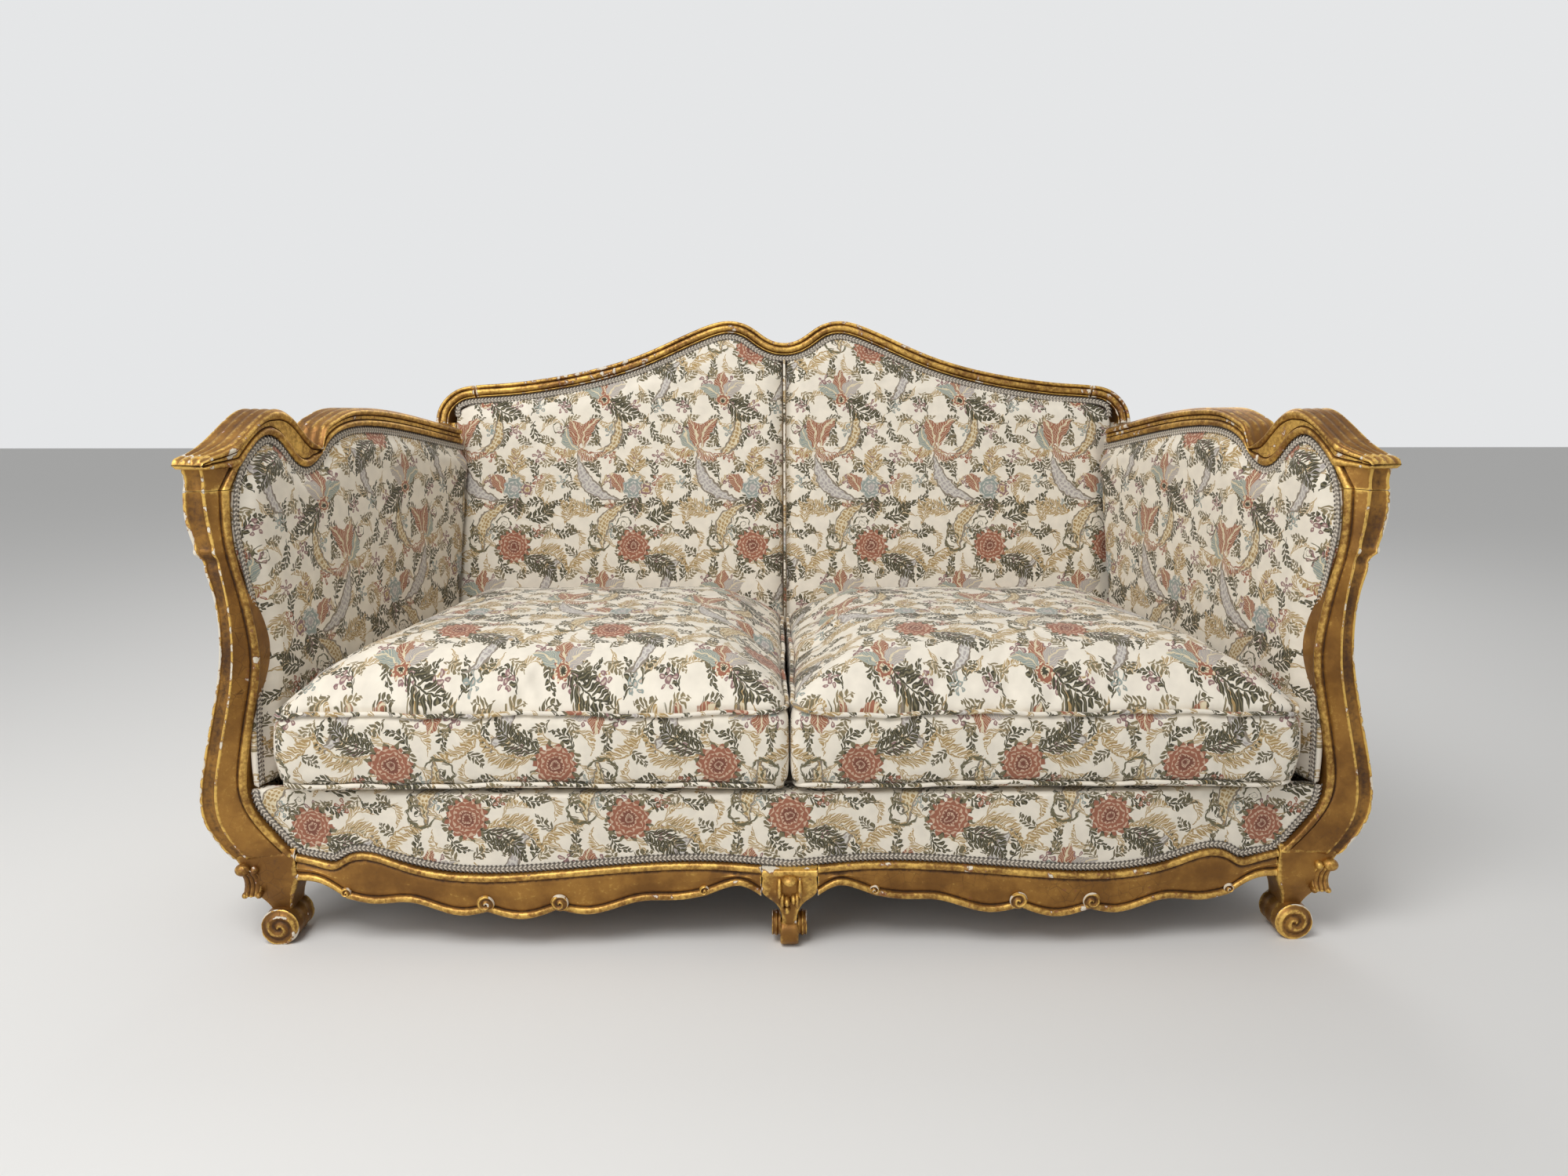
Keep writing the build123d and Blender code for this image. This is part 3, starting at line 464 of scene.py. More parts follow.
for across, up, size, turn, bend, count, reach, side, tint, vein in leaves:
    shape = {"Bend": bend, "Leaves": float(count), "Reach": reach, "Side": float(side), "Fat": 0.95}
    lay_sprig(spot(across, up, size, turn), tint, vein, **shape)

curls = [(-76, 14, 30, 160, 0.55, 9), (-18, 46, 20, 20, 0.7, 5), (92, 250, 18, 240, 0.7, 4)]
for across, up, size, turn, turns, count in curls:
    curl = place_group(web, "curl", Place=spot(across, up, size, turn), Turns=turns, Leaves=float(count))
    lay(curl["Mask"], linear(104, 98, 72))

petals = [
    # across, up, half length, turn, width, bend, tint
    (-136, 222, 29, 118, 0.5, -0.3, teal_grey),
    (-118, 240, 32, 104, 0.52, 0.3, rust),
    (-100, 244, 36, 62, 0.42, -0.4, rust),
    (-66, 344, 29, 96, 0.5, -0.3, rust),
    (-84, 330, 28, 148, 0.5, 0.4, teal_grey),
    (-44, 334, 29, 46, 0.55, -0.4, lilac_grey),
    (-32, 134, 24, 120, 0.6, 0.2, rust),
]
for across, up, size, turn, width, bend, tint in petals:
    petal = place_group(web, "petal", Place=spot(across, up, size, turn), Width=width, Bend=bend, Veins=5.0)
    lay(petal["Mask"], web.mix(petal["Vein"], tint, pale_ochre))

blooms = [
    # across, up, size, petals, depth, rings, tint, gap, heart
    (0, 0, 41, 11, 0.45, 2.0, olive, pale_olive, olive),
    (0, 0, 36, 15, 0.18, 5.0, rust, linear(206, 174, 148), deep_rust),
    (0, 122, 24, 8, 0.10, 3.4, teal_grey, pale_grey, lilac_grey),
    (27, 118, 16, 6, 0.3, 2.4, mauve, pale_ochre, ochre),
    (-62, 308, 16, 9, 0.25, 2.4, rust, pale_ochre, olive),
]
for across, up, size, count, depth, rings, tint, gap, heart in blooms:
    place = spot(across, up, size, 20)
    bloom = place_group(web, "bloom", Place=place, Petals=float(count), Depth=depth, Rings=rings)
    tint = web.mix(web.ramp(bloom["Radius"], 0.5, 0.2), tint, heart)
    lay(bloom["Mask"], web.mix(bloom["Gap"], tint, gap))
web.fill(result["Colour"], colour)
print("brocade group:", len(web.tree.nodes), "nodes")

# %% [markdown]
# ## Weave and cloth finishes
# All cloths share one weave: fine ribs both ways that lift the surface, and slubs that darken it a little.
# The brocade adds its figure as colour alone, because the threads lie almost level with the ground. All have
# a soft sheen.

# %% Weave group and cloth materials
web, given, result = shader_group(
    "weave", {"Cloth": ("vector", None), "Threads": ("value", 900.0)}, {"Height": "value", "Shade": "value"}
)
parts = web.add("ShaderNodeSeparateXYZ", given["Cloth"], out=None).outputs
warp = web.math("SINE", web.math("MULTIPLY", parts[0], given["Threads"]))
weft = web.math("SINE", web.math("MULTIPLY", parts[1], given["Threads"]))
cross = web.math("MULTIPLY", warp, weft)
slub = web.add("ShaderNodeTexNoise", given["Cloth"], 45.0, 4.0)
web.fill(result["Height"], web.math("MULTIPLY_ADD", cross, 0.5, 0.5))
web.fill(result["Shade"], web.math("MULTIPLY_ADD", slub, 0.30, 0.85))


def cloth_material(name, tint, threads, map_name="cloth"):
    """A plain woven cloth, or the brocade when no tint is given."""
    material, web, shader = new_material(name)
    if map_name:
        cloth = web.add("ShaderNodeUVMap", uv_map=map_name)
    else:
        cloth = web.add("ShaderNodeTexCoord", out="Object")
    weave = place_group(web, "weave", Cloth=cloth, Threads=threads)
    if tint is None:
        tint = place_group(web, "brocade", Cloth=cloth)["Colour"]
    shaded = web.add("ShaderNodeVectorMath", operation="SCALE", out=None)
    web.fill(shaded.inputs[0], tint if isinstance(tint, bpy.types.NodeSocket) else tint[:3])
    web.fill(shaded.inputs["Scale"], weave["Shade"])
    web.fill(shader["Base Color"], shaded.outputs[0])
    shader["Roughness"].default_value = 0.82
    shader["Sheen Weight"].default_value = 0.25
    shader["Sheen Roughness"].default_value = 0.4
    bump = web.add("ShaderNodeBump", out=None)
    bump.inputs["Strength"].default_value = 0.35
    bump.inputs["Distance"].default_value = 0.0006
    web.fill(bump.inputs["Height"], weave["Height"])
    web.fill(shader["Normal"], bump.outputs[0])
    return material


brocade_cloth = cloth_material("brocade_cloth", None, 4200.0)
deck_lining = cloth_material("deck_lining", linear(196, 184, 160), 2500.0)
dust_lining = cloth_material("dust_lining", linear(60, 56, 52), 2000.0)
jute_cloth = cloth_material("jute_cloth", linear(165, 140, 100), 900.0, None)
wadding = cloth_material("wadding", linear(222, 214, 198), 300.0, None)
print("cloths:", [m.name for m in (brocade_cloth, deck_lining, dust_lining, jute_cloth, wadding)])

# %% [markdown]
# ## Old gilding
# The show-wood is gilded over red bole and white gesso, toned brown and worn. The raised parts get a painted
# highlight of bright gold, dirt and brown toning fill the hollows, fine cracks run across, and edges have
# lost chips down to white gesso. The mesh carries a "convex" attribute, worked out from its own shape, which
# tells the shader where the raised parts and the hollows are.

# %% Gilding material
web, given, result = shader_group(
    "old_gilding",
    {"Place": ("vector", None), "Convex": ("value", 0.0)},
    {"Colour": "colour", "Roughness": "value", "Metal": "value", "Height": "value"},
)
cloudy = web.add("ShaderNodeTexNoise", given["Place"], 14.0, 5.0, 0.6)
grainy = web.add("ShaderNodeTexNoise", given["Place"], 150.0, 4.0, 0.65)
chippy = web.add("ShaderNodeTexNoise", given["Place"], 55.0, 3.0, 0.55)
patchy = web.add("ShaderNodeTexNoise", given["Place"], 5.0, 2.0, 0.5)
cracks = web.add("ShaderNodeTexVoronoi", given["Place"], 55.0, out="Distance", feature="DISTANCE_TO_EDGE")
raised = web.math("MULTIPLY_ADD", web.math("SUBTRACT", grainy, 0.5), 0.30, given["Convex"])
raised = web.math("MULTIPLY_ADD", web.math("SUBTRACT", cloudy, 0.5), 0.22, raised)
gold = web.mix(web.ramp(cloudy, 0.35, 0.68), linear(124, 84, 36), linear(164, 118, 54))
# Painted highlight: bright gold laid on the raised parts.
colour = web.mix(web.ramp(raised, 0.03, 0.18), gold, linear(232, 190, 100))
hollow = web.ramp(raised, -0.02, -0.20)
colour = web.mix(hollow, colour, linear(74, 47, 21))
cracked = web.math("MULTIPLY", web.ramp(cracks, 0.025, 0.0), web.ramp(patchy, 0.50, 0.62))
colour = web.mix(web.math("MULTIPLY", cracked, 0.6), colour, linear(70, 44, 24))
worn = web.math("MULTIPLY_ADD", given["Convex"], 1.3, web.math("SUBTRACT", chippy, 0.5))
worn = web.math("MULTIPLY_ADD", web.math("SUBTRACT", patchy, 0.5), 0.5, worn)
bole = web.ramp(worn, 0.23, 0.29)
gesso = web.ramp(worn, 0.29, 0.33)
colour = web.mix(web.math("MULTIPLY", bole, 0.75), colour, linear(132, 74, 40))
colour = web.mix(gesso, colour, linear(226, 216, 196))
web.fill(result["Colour"], colour)
roughness = web.math("MULTIPLY_ADD", grainy, 0.25, 0.30)
web.fill(result["Roughness"], web.math("MULTIPLY_ADD", web.math("MAXIMUM", hollow, bole), 0.25, roughness))
bare = web.math("MAXIMUM", web.math("MULTIPLY", hollow, 0.6), bole)
web.fill(result["Metal"], web.math("MULTIPLY_ADD", bare, -0.62, 0.62))
height = web.math("MULTIPLY_ADD", cracked, -0.8, grainy)
web.fill(result["Height"], web.math("MULTIPLY_ADD", gesso, -1.5, height))

gilding, web, shader = new_material("gilding")
finish = place_group(
    web,
    "old_gilding",
    Place=web.add("ShaderNodeTexCoord", out="Object"),
    Convex=web.add("ShaderNodeAttribute", out="Fac", attribute_name="convex"),
)
web.fill(shader["Base Color"], finish["Colour"])
web.fill(shader["Roughness"], finish["Roughness"])
web.fill(shader["Metallic"], finish["Metal"])
bump = web.add("ShaderNodeBump", out=None)
bump.inputs["Strength"].default_value = 0.4
bump.inputs["Distance"].default_value = 0.0012
web.fill(bump.inputs["Height"], finish["Height"])
web.fill(shader["Normal"], bump.outputs[0])
print("gilding ready")

# %% Hidden wood and steel
beech, web, shader = new_material("beech")
place = web.add("ShaderNodeTexCoord", out="Object")
grain = web.add("ShaderNodeTexNoise", web.vector("MULTIPLY", place, (6.0, 60.0, 60.0)), 3.0, 4.0)
web.fill(shader["Base Color"], web.mix(grain, linear(150, 112, 72), linear(204, 170, 124)))
web.fill(shader["Roughness"], web.math("MULTIPLY_ADD", grain, 0.2, 0.5))

steel, web, shader = new_material("spring_steel")
place = web.add("ShaderNodeTexCoord", out="Object")
scratch = web.add("ShaderNodeTexNoise", place, 220.0, 3.0)
web.fill(shader["Base Color"], web.mix(scratch, linear(95, 95, 98), linear(140, 140, 142)))
web.fill(shader["Roughness"], web.math("MULTIPLY_ADD", scratch, 0.25, 0.3))
shader["Metallic"].default_value = 1.0

slot_finish = {"beech": beech, "steel": steel, "jute": jute_cloth, "padding": wadding}
for entry in frame["record"]["subparts"]:
    if entry["material_slot"] in slot_finish:
        mesh = nodes[entry["node"]].data
        mesh.materials.clear()
        mesh.materials.append(slot_finish[entry["material_slot"]])
print("hidden pieces finished")

# %% [markdown]
# ## Drawing with points
# The sofa's outlines are smooth lines through a few measured points. A natural cubic spline joins them, and
# most carved members are lofts: rows of closed sections along such a line. The helpers below are all in
# millimetres.

# %% Outline helpers
back_rake, back_line = radians(14), (241.8, 400.0)
arm_splay, arm_start = radians(12.5), (690.0, 230.0)


def spline(knots, values, at):
    """Values of a natural cubic spline through given values at rising knots."""
    knots, values, at = (np.asarray(array, float) for array in (knots, values, at))
    count, gap = len(knots), np.diff(knots)
    flat = values.reshape(count, -1)
    slope = np.diff(flat, axis=0) / gap[:, None]
    matrix, right = np.eye(count), np.zeros_like(flat)
    for i in range(1, count - 1):
        matrix[i, i - 1:i + 2] = gap[i - 1], 2 * (gap[i - 1] + gap[i]), gap[i]
        right[i] = 6 * (slope[i] - slope[i - 1])
    bend = np.linalg.solve(matrix, right)
    k = np.clip(np.searchsorted(knots, at, side="right") - 1, 0, count - 2)
    t, h = (at - knots[k])[:, None], gap[k][:, None]
    start = slope[k] - h * (2 * bend[k] + bend[k + 1]) / 6
    made = flat[k] + start * t + bend[k] / 2 * t**2 + (bend[k + 1] - bend[k]) / (6 * h) * t**3
    return made.reshape((len(at),) + values.shape[1:])


def smooth_line(points, step):
    """Evenly spaced points on a smooth line through points, about this far apart."""
    points = np.asarray(points, float)
    chord = np.concatenate([[0], np.cumsum(np.linalg.norm(np.diff(points, axis=0), axis=1))])
    fine = spline(chord, points, np.linspace(0, chord[-1], 40 * len(points)))
    length = np.concatenate([[0], np.cumsum(np.linalg.norm(np.diff(fine, axis=0), axis=1))])
    even = np.linspace(0, length[-1], max(2, round(length[-1] / step) + 1))
    return np.stack([np.interp(even, length, fine[:, axis]) for axis in range(points.shape[1])], axis=1)


def sideways(line):
    """Unit vectors to the right of a flat line's direction."""
    way = np.gradient(line, axis=0)
    way /= np.linalg.norm(way, axis=1)[:, None]
    return np.stack([way[:, 1], -way[:, 0]], axis=1)


def from_back(across, up, forward):
    """Points of the back's plane, and in front of it, in the sofa's frame."""
    return np.stack([
        across + 0 * up,
        back_line[0] + up * sin(back_rake) - forward * cos(back_rake) + 0 * across,
        back_line[1] + up * cos(back_rake) + forward * sin(back_rake) + 0 * across,
    ], axis=-1)


def from_arm(along, up, inwards):
    """Points of the right arm's plane, and inside it, in the sofa's frame."""
    return np.stack([
        arm_start[0] + along * sin(arm_splay) - inwards * cos(arm_splay) + 0 * up,
        arm_start[1] - along * cos(arm_splay) - inwards * sin(arm_splay) + 0 * up,
        up + 0 * along,
    ], axis=-1)


def loft(sections):
    """A closed body through rows of closed sections, with extra points near the ends of long flat sides."""
    sections = np.asarray(sections, float)
    onwards = np.roll(sections, -1, axis=1) - sections
    length = np.linalg.norm(onwards, axis=2).mean(axis=0)
    columns = []
    for number, side in enumerate(length):
        columns.append(sections[:, number])
        near, far = min(3 / side, 0.15), min(8 / side, 0.35)
        for share in (near, far, 1 - far, 1 - near) if side > 12 else ():
            columns.append(sections[:, number] + onwards[:, number] * share)
    sections = np.stack(columns, axis=1)
    rows, count = sections.shape[:2]
    index = np.arange(rows * count).reshape(rows, count)
    following = np.roll(index, -1, axis=1)
    sides = np.stack([index[:-1], following[:-1], following[1:], index[1:]], axis=-1).reshape(-1, 4)
    return sections.reshape(-1, 3), sides.tolist() + [index[0].tolist(), index[-1].tolist()]


def moulding(*steps):
    """A row of profile points from steps: a bead from place to place with a height, or a plain point."""
    profile = []
    for step in steps:
        if len(step) == 2:
            profile.append(step)
            continue
        start, end, base, height = step
        for share in np.linspace(0, 1, 9):
            place = start + (end - start) * (1 - cos(pi * share)) / 2
            profile.append((place, base + height * sin(pi * share)))
    return np.array(profile, float)


print("helpers ready")

# %% [markdown]
# ## Making a gilt piece
# A carved member is several closed bodies in one mesh. After the bodies are joined, the normals are turned
# outwards, the shading is smooth apart from hard edges, and the convex attribute is measured: how far each
# point stands above its neighbours, averaged a little so that wear and the painted highlight spread.

# %% Piece helpers
def body_mesh(name, bodies, flipped):
    """One mesh from closed bodies in millimetres, mirrored for the left side if asked."""
    points, faces, first = [], [], 0
    for body_points, body_faces in bodies:
        body_points = np.array(body_points, float) * ((-1, 1, 1) if flipped else 1)
        points.append(body_points / 1000)
        faces += [[first + corner for corner in face] for face in body_faces]
        first += len(body_points)
    mesh = bpy.data.meshes.new(name)
    mesh.from_pydata(np.concatenate(points).tolist(), [], faces)
    tidy = bmesh.new()
    tidy.from_mesh(mesh)
    bmesh.ops.remove_doubles(tidy, verts=tidy.verts, dist=1e-6)
    bmesh.ops.recalc_face_normals(tidy, faces=tidy.faces)
    tidy.to_mesh(mesh)
    tidy.free()
    return mesh


def measure_convex(mesh):
    """Writes how far each point stands above its neighbours, as a share of the way to them."""
    count = len(mesh.vertices)
    place, normal = np.zeros(count * 3), np.zeros(count * 3)
    mesh.vertices.foreach_get("co", place)
    mesh.vertices.foreach_get("normal", normal)
    place, normal = place.reshape(-1, 3), normal.reshape(-1, 3)
    ends = np.zeros(len(mesh.edges) * 2, int)
    mesh.edges.foreach_get("vertices", ends)
    a, b = ends.reshape(-1, 2).T
    way = place[a] - place[b]
    way /= np.maximum(np.linalg.norm(way, axis=1), 1e-9)[:, None]
    degree = np.maximum(np.bincount(a, minlength=count) + np.bincount(b, minlength=count), 1)
    convex = np.bincount(a, (normal[a] * way).sum(1), count) - np.bincount(b, (normal[b] * way).sum(1), count)
    convex /= degree
    for _ in range(2):
        near = np.bincount(a, convex[b], count) + np.bincount(b, convex[a], count)
        convex = 0.5 * convex + 0.5 * near / degree
    mesh.attributes.new("convex", "FLOAT", "POINT").data.foreach_set("value", convex.astype(np.float32))


def show(name, mesh, material, body, slot, *stands_for):
    """Puts a finished mesh in the scene on a body, in place of CAD nodes."""
    mesh.materials.clear()
    mesh.materials.append(material)
    piece = bpy.data.objects.new(name, mesh)
    scene.collection.objects.link(piece)
    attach(piece, body)
    if stands_for:
        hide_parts(*stands_for)
    return piece


def gilt_piece(name, bodies, node, flipped=False, crease=38):
    """A gilt member in place of its CAD node."""
    mesh = body_mesh(name, bodies, flipped)
    mesh.shade_smooth()
    mesh.set_sharp_from_angle(angle=radians(crease))
    measure_convex(mesh)
    piece = show(name, mesh, gilding, "frame", "gilt_wood", node)
    print(name, len(mesh.polygons), "faces")
    return piece


def gilt_pair(name, bodies):
    """A right-hand gilt member and its mirror image."""
    gilt_piece("right_" + name + "_carved", bodies, "right_" + name)
    gilt_piece("left_" + name + "_carved", bodies, "left_" + name, flipped=True)


print("piece helpers ready")

# %% [markdown]
# ## Crest rail and back posts
# The back's frame is one moulding with two beads that follows the double hump of the crest and turns down at
# the shoulders, where thin joint lines show. It is swept: at each point of the edge line, the same profile is
# laid inwards and forwards. The posts go on down behind the arms as plain raked legs.

# %% Crest and posts
crest_points = [
    (0, 561), (30, 568), (72, 596), (117, 608), (175, 594), (300, 538), (400, 506), (520, 483),
    (600, 474), (657, 470), (692, 462), (720, 441), (735, 415), (739, 390),
]
crest_line = smooth_line([(-x, w) for x, w in crest_points[:0:-1]] + crest_points, 5)
crest_in = sideways(crest_line)
crest_profile = moulding(
    (0, -48), (0, -40), (0.5, 3), (1, 9, 6, 5), (9.6, 6), (10.2, 22, 7, 5), (22.6, 5), (23, 26.5, 3, 3),
    (27, -3), (27, -48),
)


def swept(line, inward, profile, to_frame):
    """A moulding along a flat line: the profile's first size runs inwards, its second forwards."""
    flat = line[:, None, :] + inward[:, None, :] * profile[None, :, :1]
    forward = np.broadcast_to(profile[:, 1], flat.shape[:2])
    return loft(to_frame(flat[..., 0], flat[..., 1], forward))


crest_joint = 656.5
middle_part = np.abs(crest_line[:, 0]) < crest_joint
crest_body = swept(crest_line[middle_part], crest_in[middle_part], crest_profile, from_back)
gilt_piece("crest_rail_carved", [crest_body], "crest_rail")

shoulder_part = crest_line[:, 0] > crest_joint + 1
post_front_y = back_line[0] + (270 - 400) * tan(back_rake) + 12 / cos(back_rake)
post_rear_y = back_line[0] + (270 - 400) * tan(back_rake) + 49 / cos(back_rake)
lean = tan(back_rake)
post_rows = [
    # height, front y, rear y
    (0, post_front_y + 56, post_front_y + 92), (60, post_front_y + 24, post_rear_y + 27),
    (114, post_front_y + 1, post_rear_y), (190, post_front_y, post_rear_y), (270, post_front_y, post_rear_y),
    (778, post_front_y + 508 * lean, post_rear_y + 508 * lean),
]
post_heights = np.array([row[0] for row in post_rows], float)
height_steps = [np.linspace(a, b, 9)[:-1] for a, b in zip(post_heights, post_heights[1:])]
height_steps = np.concatenate(height_steps + [[778.0]])
front_edge = np.interp(height_steps, post_heights, [row[1] for row in post_rows])
rear_edge = np.interp(height_steps, post_heights, [row[2] for row in post_rows])
corner = 4.0
post_sections = [
    [(698, f + corner, z), (698 + corner, f, z), (741 - corner, f, z), (741, f + corner, z),
     (741, r - corner, z), (741 - corner, r, z), (698 + corner, r, z), (698, r - corner, z)]
    for z, f, r in zip(height_steps, front_edge, rear_edge)
]
gilt_pair("back_post", [
    swept(crest_line[shoulder_part], crest_in[shoulder_part], crest_profile, from_back), loft(post_sections)
])

# %% [markdown]
# ## Arm rails
# Each rail rises in a long hump, dips at a notch and rises again to a shorter hump that runs out to a flat
# ear over the front post. Its inner face has a bead along the padding, a flat and a second bead, and three
# reeds run over the top. Each half is a loft whose sections stand between the underside and the top line, and
# the ear's thin lip is a short third one. The rail is put together in the next step, with the neck under it.

# %% Arm rails
arm_points = [
    (-110, 729), (-19, 747), (138, 778), (264, 796), (334, 796), (390, 777), (424, 750), (457, 742),
    (481, 755), (509, 785), (538, 799), (582, 781), (609, 757), (624, 731), (632, 706), (636, 663),
    (632, 629),
    (624, 583), (614, 530), (610, 464), (621, 420), (633, 360), (641, 264),
]
arm_line = smooth_line(arm_points, 3)
rear_top = [(-110, 761), (-14, 780), (139, 811), (276, 828), (330, 826), (376, 813), (399, 796), (411, 772)]
front_top = [(411, 772), (447, 795), (476, 823), (522, 837), (565, 820), (601, 799), (640, 781), (676, 773)]
top_reeds = np.array([(z, -1.6 + 1.6 * cos(2 * pi * (z + 4) / 17)) for z in np.arange(0, -57, -2.0)])
bead_width, band_width = 12.0, 13.0
bead = moulding((0, 1, 0, 1))


def rail_sections(along, under, over, set_back):
    """Sections of an arm rail between its underside and top line, set back behind the arm's plane."""
    slope = np.gradient(under, along)
    rows = []
    for s, low, high, lean, back in zip(along, under, over, slope, set_back):
        room = high - low - 3
        lower = min(bead_width * sqrt(1 + lean**2), 0.36 * room)
        upper = min(band_width, 0.32 * room)
        face_up = np.concatenate([
            low + bead[:, 0] * lower, low + lower + np.array([1.0, 2.0]), high - upper - np.array([5.0, 4.0]),
            high - 3 - upper + bead[:, 0] * upper,
        ])
        face_in = np.concatenate([1 + 4.5 * bead[:, 1], [-1.0, 1.0, 1.0, -1.0], 1 + 4.5 * bead[:, 1]]) - back
        rows.append(np.concatenate([
            from_arm(s, face_up, face_in),
            from_arm(s, high + top_reeds[:, 1], top_reeds[:, 0] - back * (1 + top_reeds[:, 0] / 57)),
            from_arm(s, np.array([high - 5, low + 3, low]), np.array([-58.0, -58.0, -56.0])),
        ]))
    return rows


def rise(points, at):
    points = np.array(points, float)
    return spline(points[:, 0], points[:, 1], np.asarray(at, float))


ear_under = 757.0
rear_along = np.linspace(-60, 411, 120)
rear_under, rear_over = rise(arm_points[:13], rear_along), rise(rear_top, rear_along)
rear_rail = rail_sections(rear_along, rear_under, rear_over, 0 * rear_along)
front_along = np.linspace(405, 661, 110)
front_under = np.maximum(rise(arm_points[:13], np.minimum(front_along, 620)), ear_under * (front_along > 600))
front_over = rise(front_top, np.maximum(front_along, 411))
turned_in = np.maximum(front_along - 612, 0) * 0.42
front_rail = rail_sections(front_along, front_under, front_over, turned_in)
lip_along = np.array([652, 658, 664, 670, 674, 676])
lip_drop = np.array([0, 0, 0, 0.5, 2, 5])
lip_over = rise(front_top, lip_along) - lip_drop
ear_lip = rail_sections(lip_along, ear_under + lip_drop, lip_over, 0 * lip_along + 12)
print("arm rail:", len(rear_rail) + len(front_rail) + len(ear_lip), "sections")

# %% [markdown]
# ## Front posts, knees and scroll feet
# A front post swells and narrows as it runs down from the ear. Its front facet and the broad face beside it
# meet at an arris, and a groove and a bright bead run down next to the braid. The same section goes on above
# the joint as the neck of the ear, which is part of the arm rail. Below the seat the post turns into a knee
# with a reeded scroll bracket, a loft with ovals for its rolls, and a foot that is a volute seen from the
# front. Post and knee each run on a little inside the other, so that no edge shows where they meet.

# %% Volutes
def volute(x, z, radius, front, back, turns, relief):
    """A scroll seen from the front: a drum whose face has a spiral ridge, and whose side is reeded."""
    around = np.linspace(0, 2 * pi, 72, endpoint=False)
    rows = []
    for share in (0.04, 0.12, 0.22, 0.32, 0.42, 0.52, 0.62, 0.72, 0.82, 0.9, 0.96, 1.0):
        ridge = np.cos(2 * pi * (share * turns - around / (2 * pi)))
        dome = relief * (0.9 * (1 - share**4) + 0.55 * ridge * (share < 0.99)) - (3 if share == 1.0 else 0)
        rows.append(np.stack([
            x + radius * share * np.cos(around), front + relief - dome, z + radius * share * np.sin(around)
        ], axis=1))
    depth = back - front
    for share in np.linspace(0.1, 1, 15):
        reed = 1 - 0.05 * (0.5 - 0.5 * cos(2 * pi * share * 3))
        reeded = radius * reed
        rows.append(np.stack([
            x + reeded * np.cos(around), np.full(72, front + share * depth), z + reeded * np.sin(around)
        ], axis=1))
    points, faces = loft(rows)
    points[:, 2] = np.maximum(points[:, 2], 0)
    return points, faces


def egg(x, y, z, wide, deep, high):
    """A raised oval."""
    rows = []
    for tip in np.linspace(-0.98, 0.98, 21):
        ring = np.sqrt(1 - tip**2)
        around = np.linspace(0, 2 * pi, 36, endpoint=False)
        rows.append(np.stack([
            x + wide * ring * np.cos(around), y + deep * ring * np.sin(around), np.full(36, z + high * tip)
        ], axis=1))
    return loft(rows)


print("volute and egg ready")

# %% Front posts
post_rows = np.array([
    # height, outer corner x, arris x, braid edge x, braid edge y, front y
    (149, 876, 852, 779, -406, -412), (173, 893, 868, 800, -406, -413), (205, 908, 882, 824, -405, -415),
    (235, 912, 886, 839, -402, -416), (307, 900, 876, 840, -394, -415), (401, 875, 852, 822, -384, -413),
    (456, 862, 841, 813, -380, -412), (520, 855, 836, 815, -380, -412), (584, 860, 839, 824, -382, -412),
    (634, 874, 846, 829, -387, -412), (690, 886, 852, 829, -388, -412), (725, 884, 853, 828, -385, -412),
], float)
post_heights = np.linspace(141, 724.6, 190)
post_table = spline(post_rows[:, 0], post_rows[:, 1:], np.maximum(post_heights, 149))
post_back = -337.0
front_facet = moulding((0.0, 0), (0.12, 0), (0.2, -2.5), (0.5, -4), (0.8, -2.5), (0.88, 0), (1.0, 0))


def post_section(z, outer, arris, edge_x, edge_y, front):
    """One section of a front post: facet, broad face with its bead, and a plain back."""
    ledge = 3.5 * np.exp(-((z - 634) / 6) ** 2) - 2.5 * np.exp(-((z - 620) / 9) ** 2)
    tucked = 0.8 * max(149 - z, 0)
    outer, front, edge_y = outer + ledge - tucked, front - ledge + tucked, edge_y + tucked
    facet = np.stack([outer + (arris - outer) * front_facet[:, 0], front - front_facet[:, 1]], axis=1)
    start, end = np.array([arris, front]), np.array([edge_x, edge_y])
    way = (end - start) / np.linalg.norm(end - start)
    outwards = np.array([way[1], -way[0]])
    outwards = outwards * np.sign(outwards @ np.array([-0.5, -1.0]))
    width = np.linalg.norm(end - start)
    broad_face = moulding(
        (0, 0), (2, -0.5), (width - 17, -1), (width - 14.5, -3), (width - 13, width - 0.7, -1.5, 4.5)
    )
    broad = start + way * broad_face[:, :1] + outwards * broad_face[:, 1:]
    rear_y = post_back + 15 * np.clip((872 - outer) / 10, 0, 1)
    rear = np.array([
        (edge_x, rear_y - 3), (edge_x + 4, rear_y), (outer - 12, rear_y), (outer - 8, rear_y - 4)
    ])
    flat = np.concatenate([facet, broad, rear])
    return np.concatenate([flat, np.full((len(flat), 1), z)], axis=1)


post_body = loft([post_section(z, *row) for z, row in zip(post_heights, post_table)])
neck_rows = np.array([
    # height, outer corner x, arris x, braid edge x, braid edge y, front y
    (725.6, 884, 853, 828, -385, -412), (740, 881, 852, 824.5, -375, -411.5),
    (759, 884, 853, 820.5, -361, -412),
])
neck_heights = np.linspace(725.6, 759, 14)
neck_table = spline(neck_rows[:, 0], neck_rows[:, 1:], neck_heights)
neck_body = loft([post_section(z, *row) for z, row in zip(neck_heights, neck_table)])
gilt_pair("arm_rail", [loft(rear_rail), loft(front_rail), loft(ear_lip), neck_body])

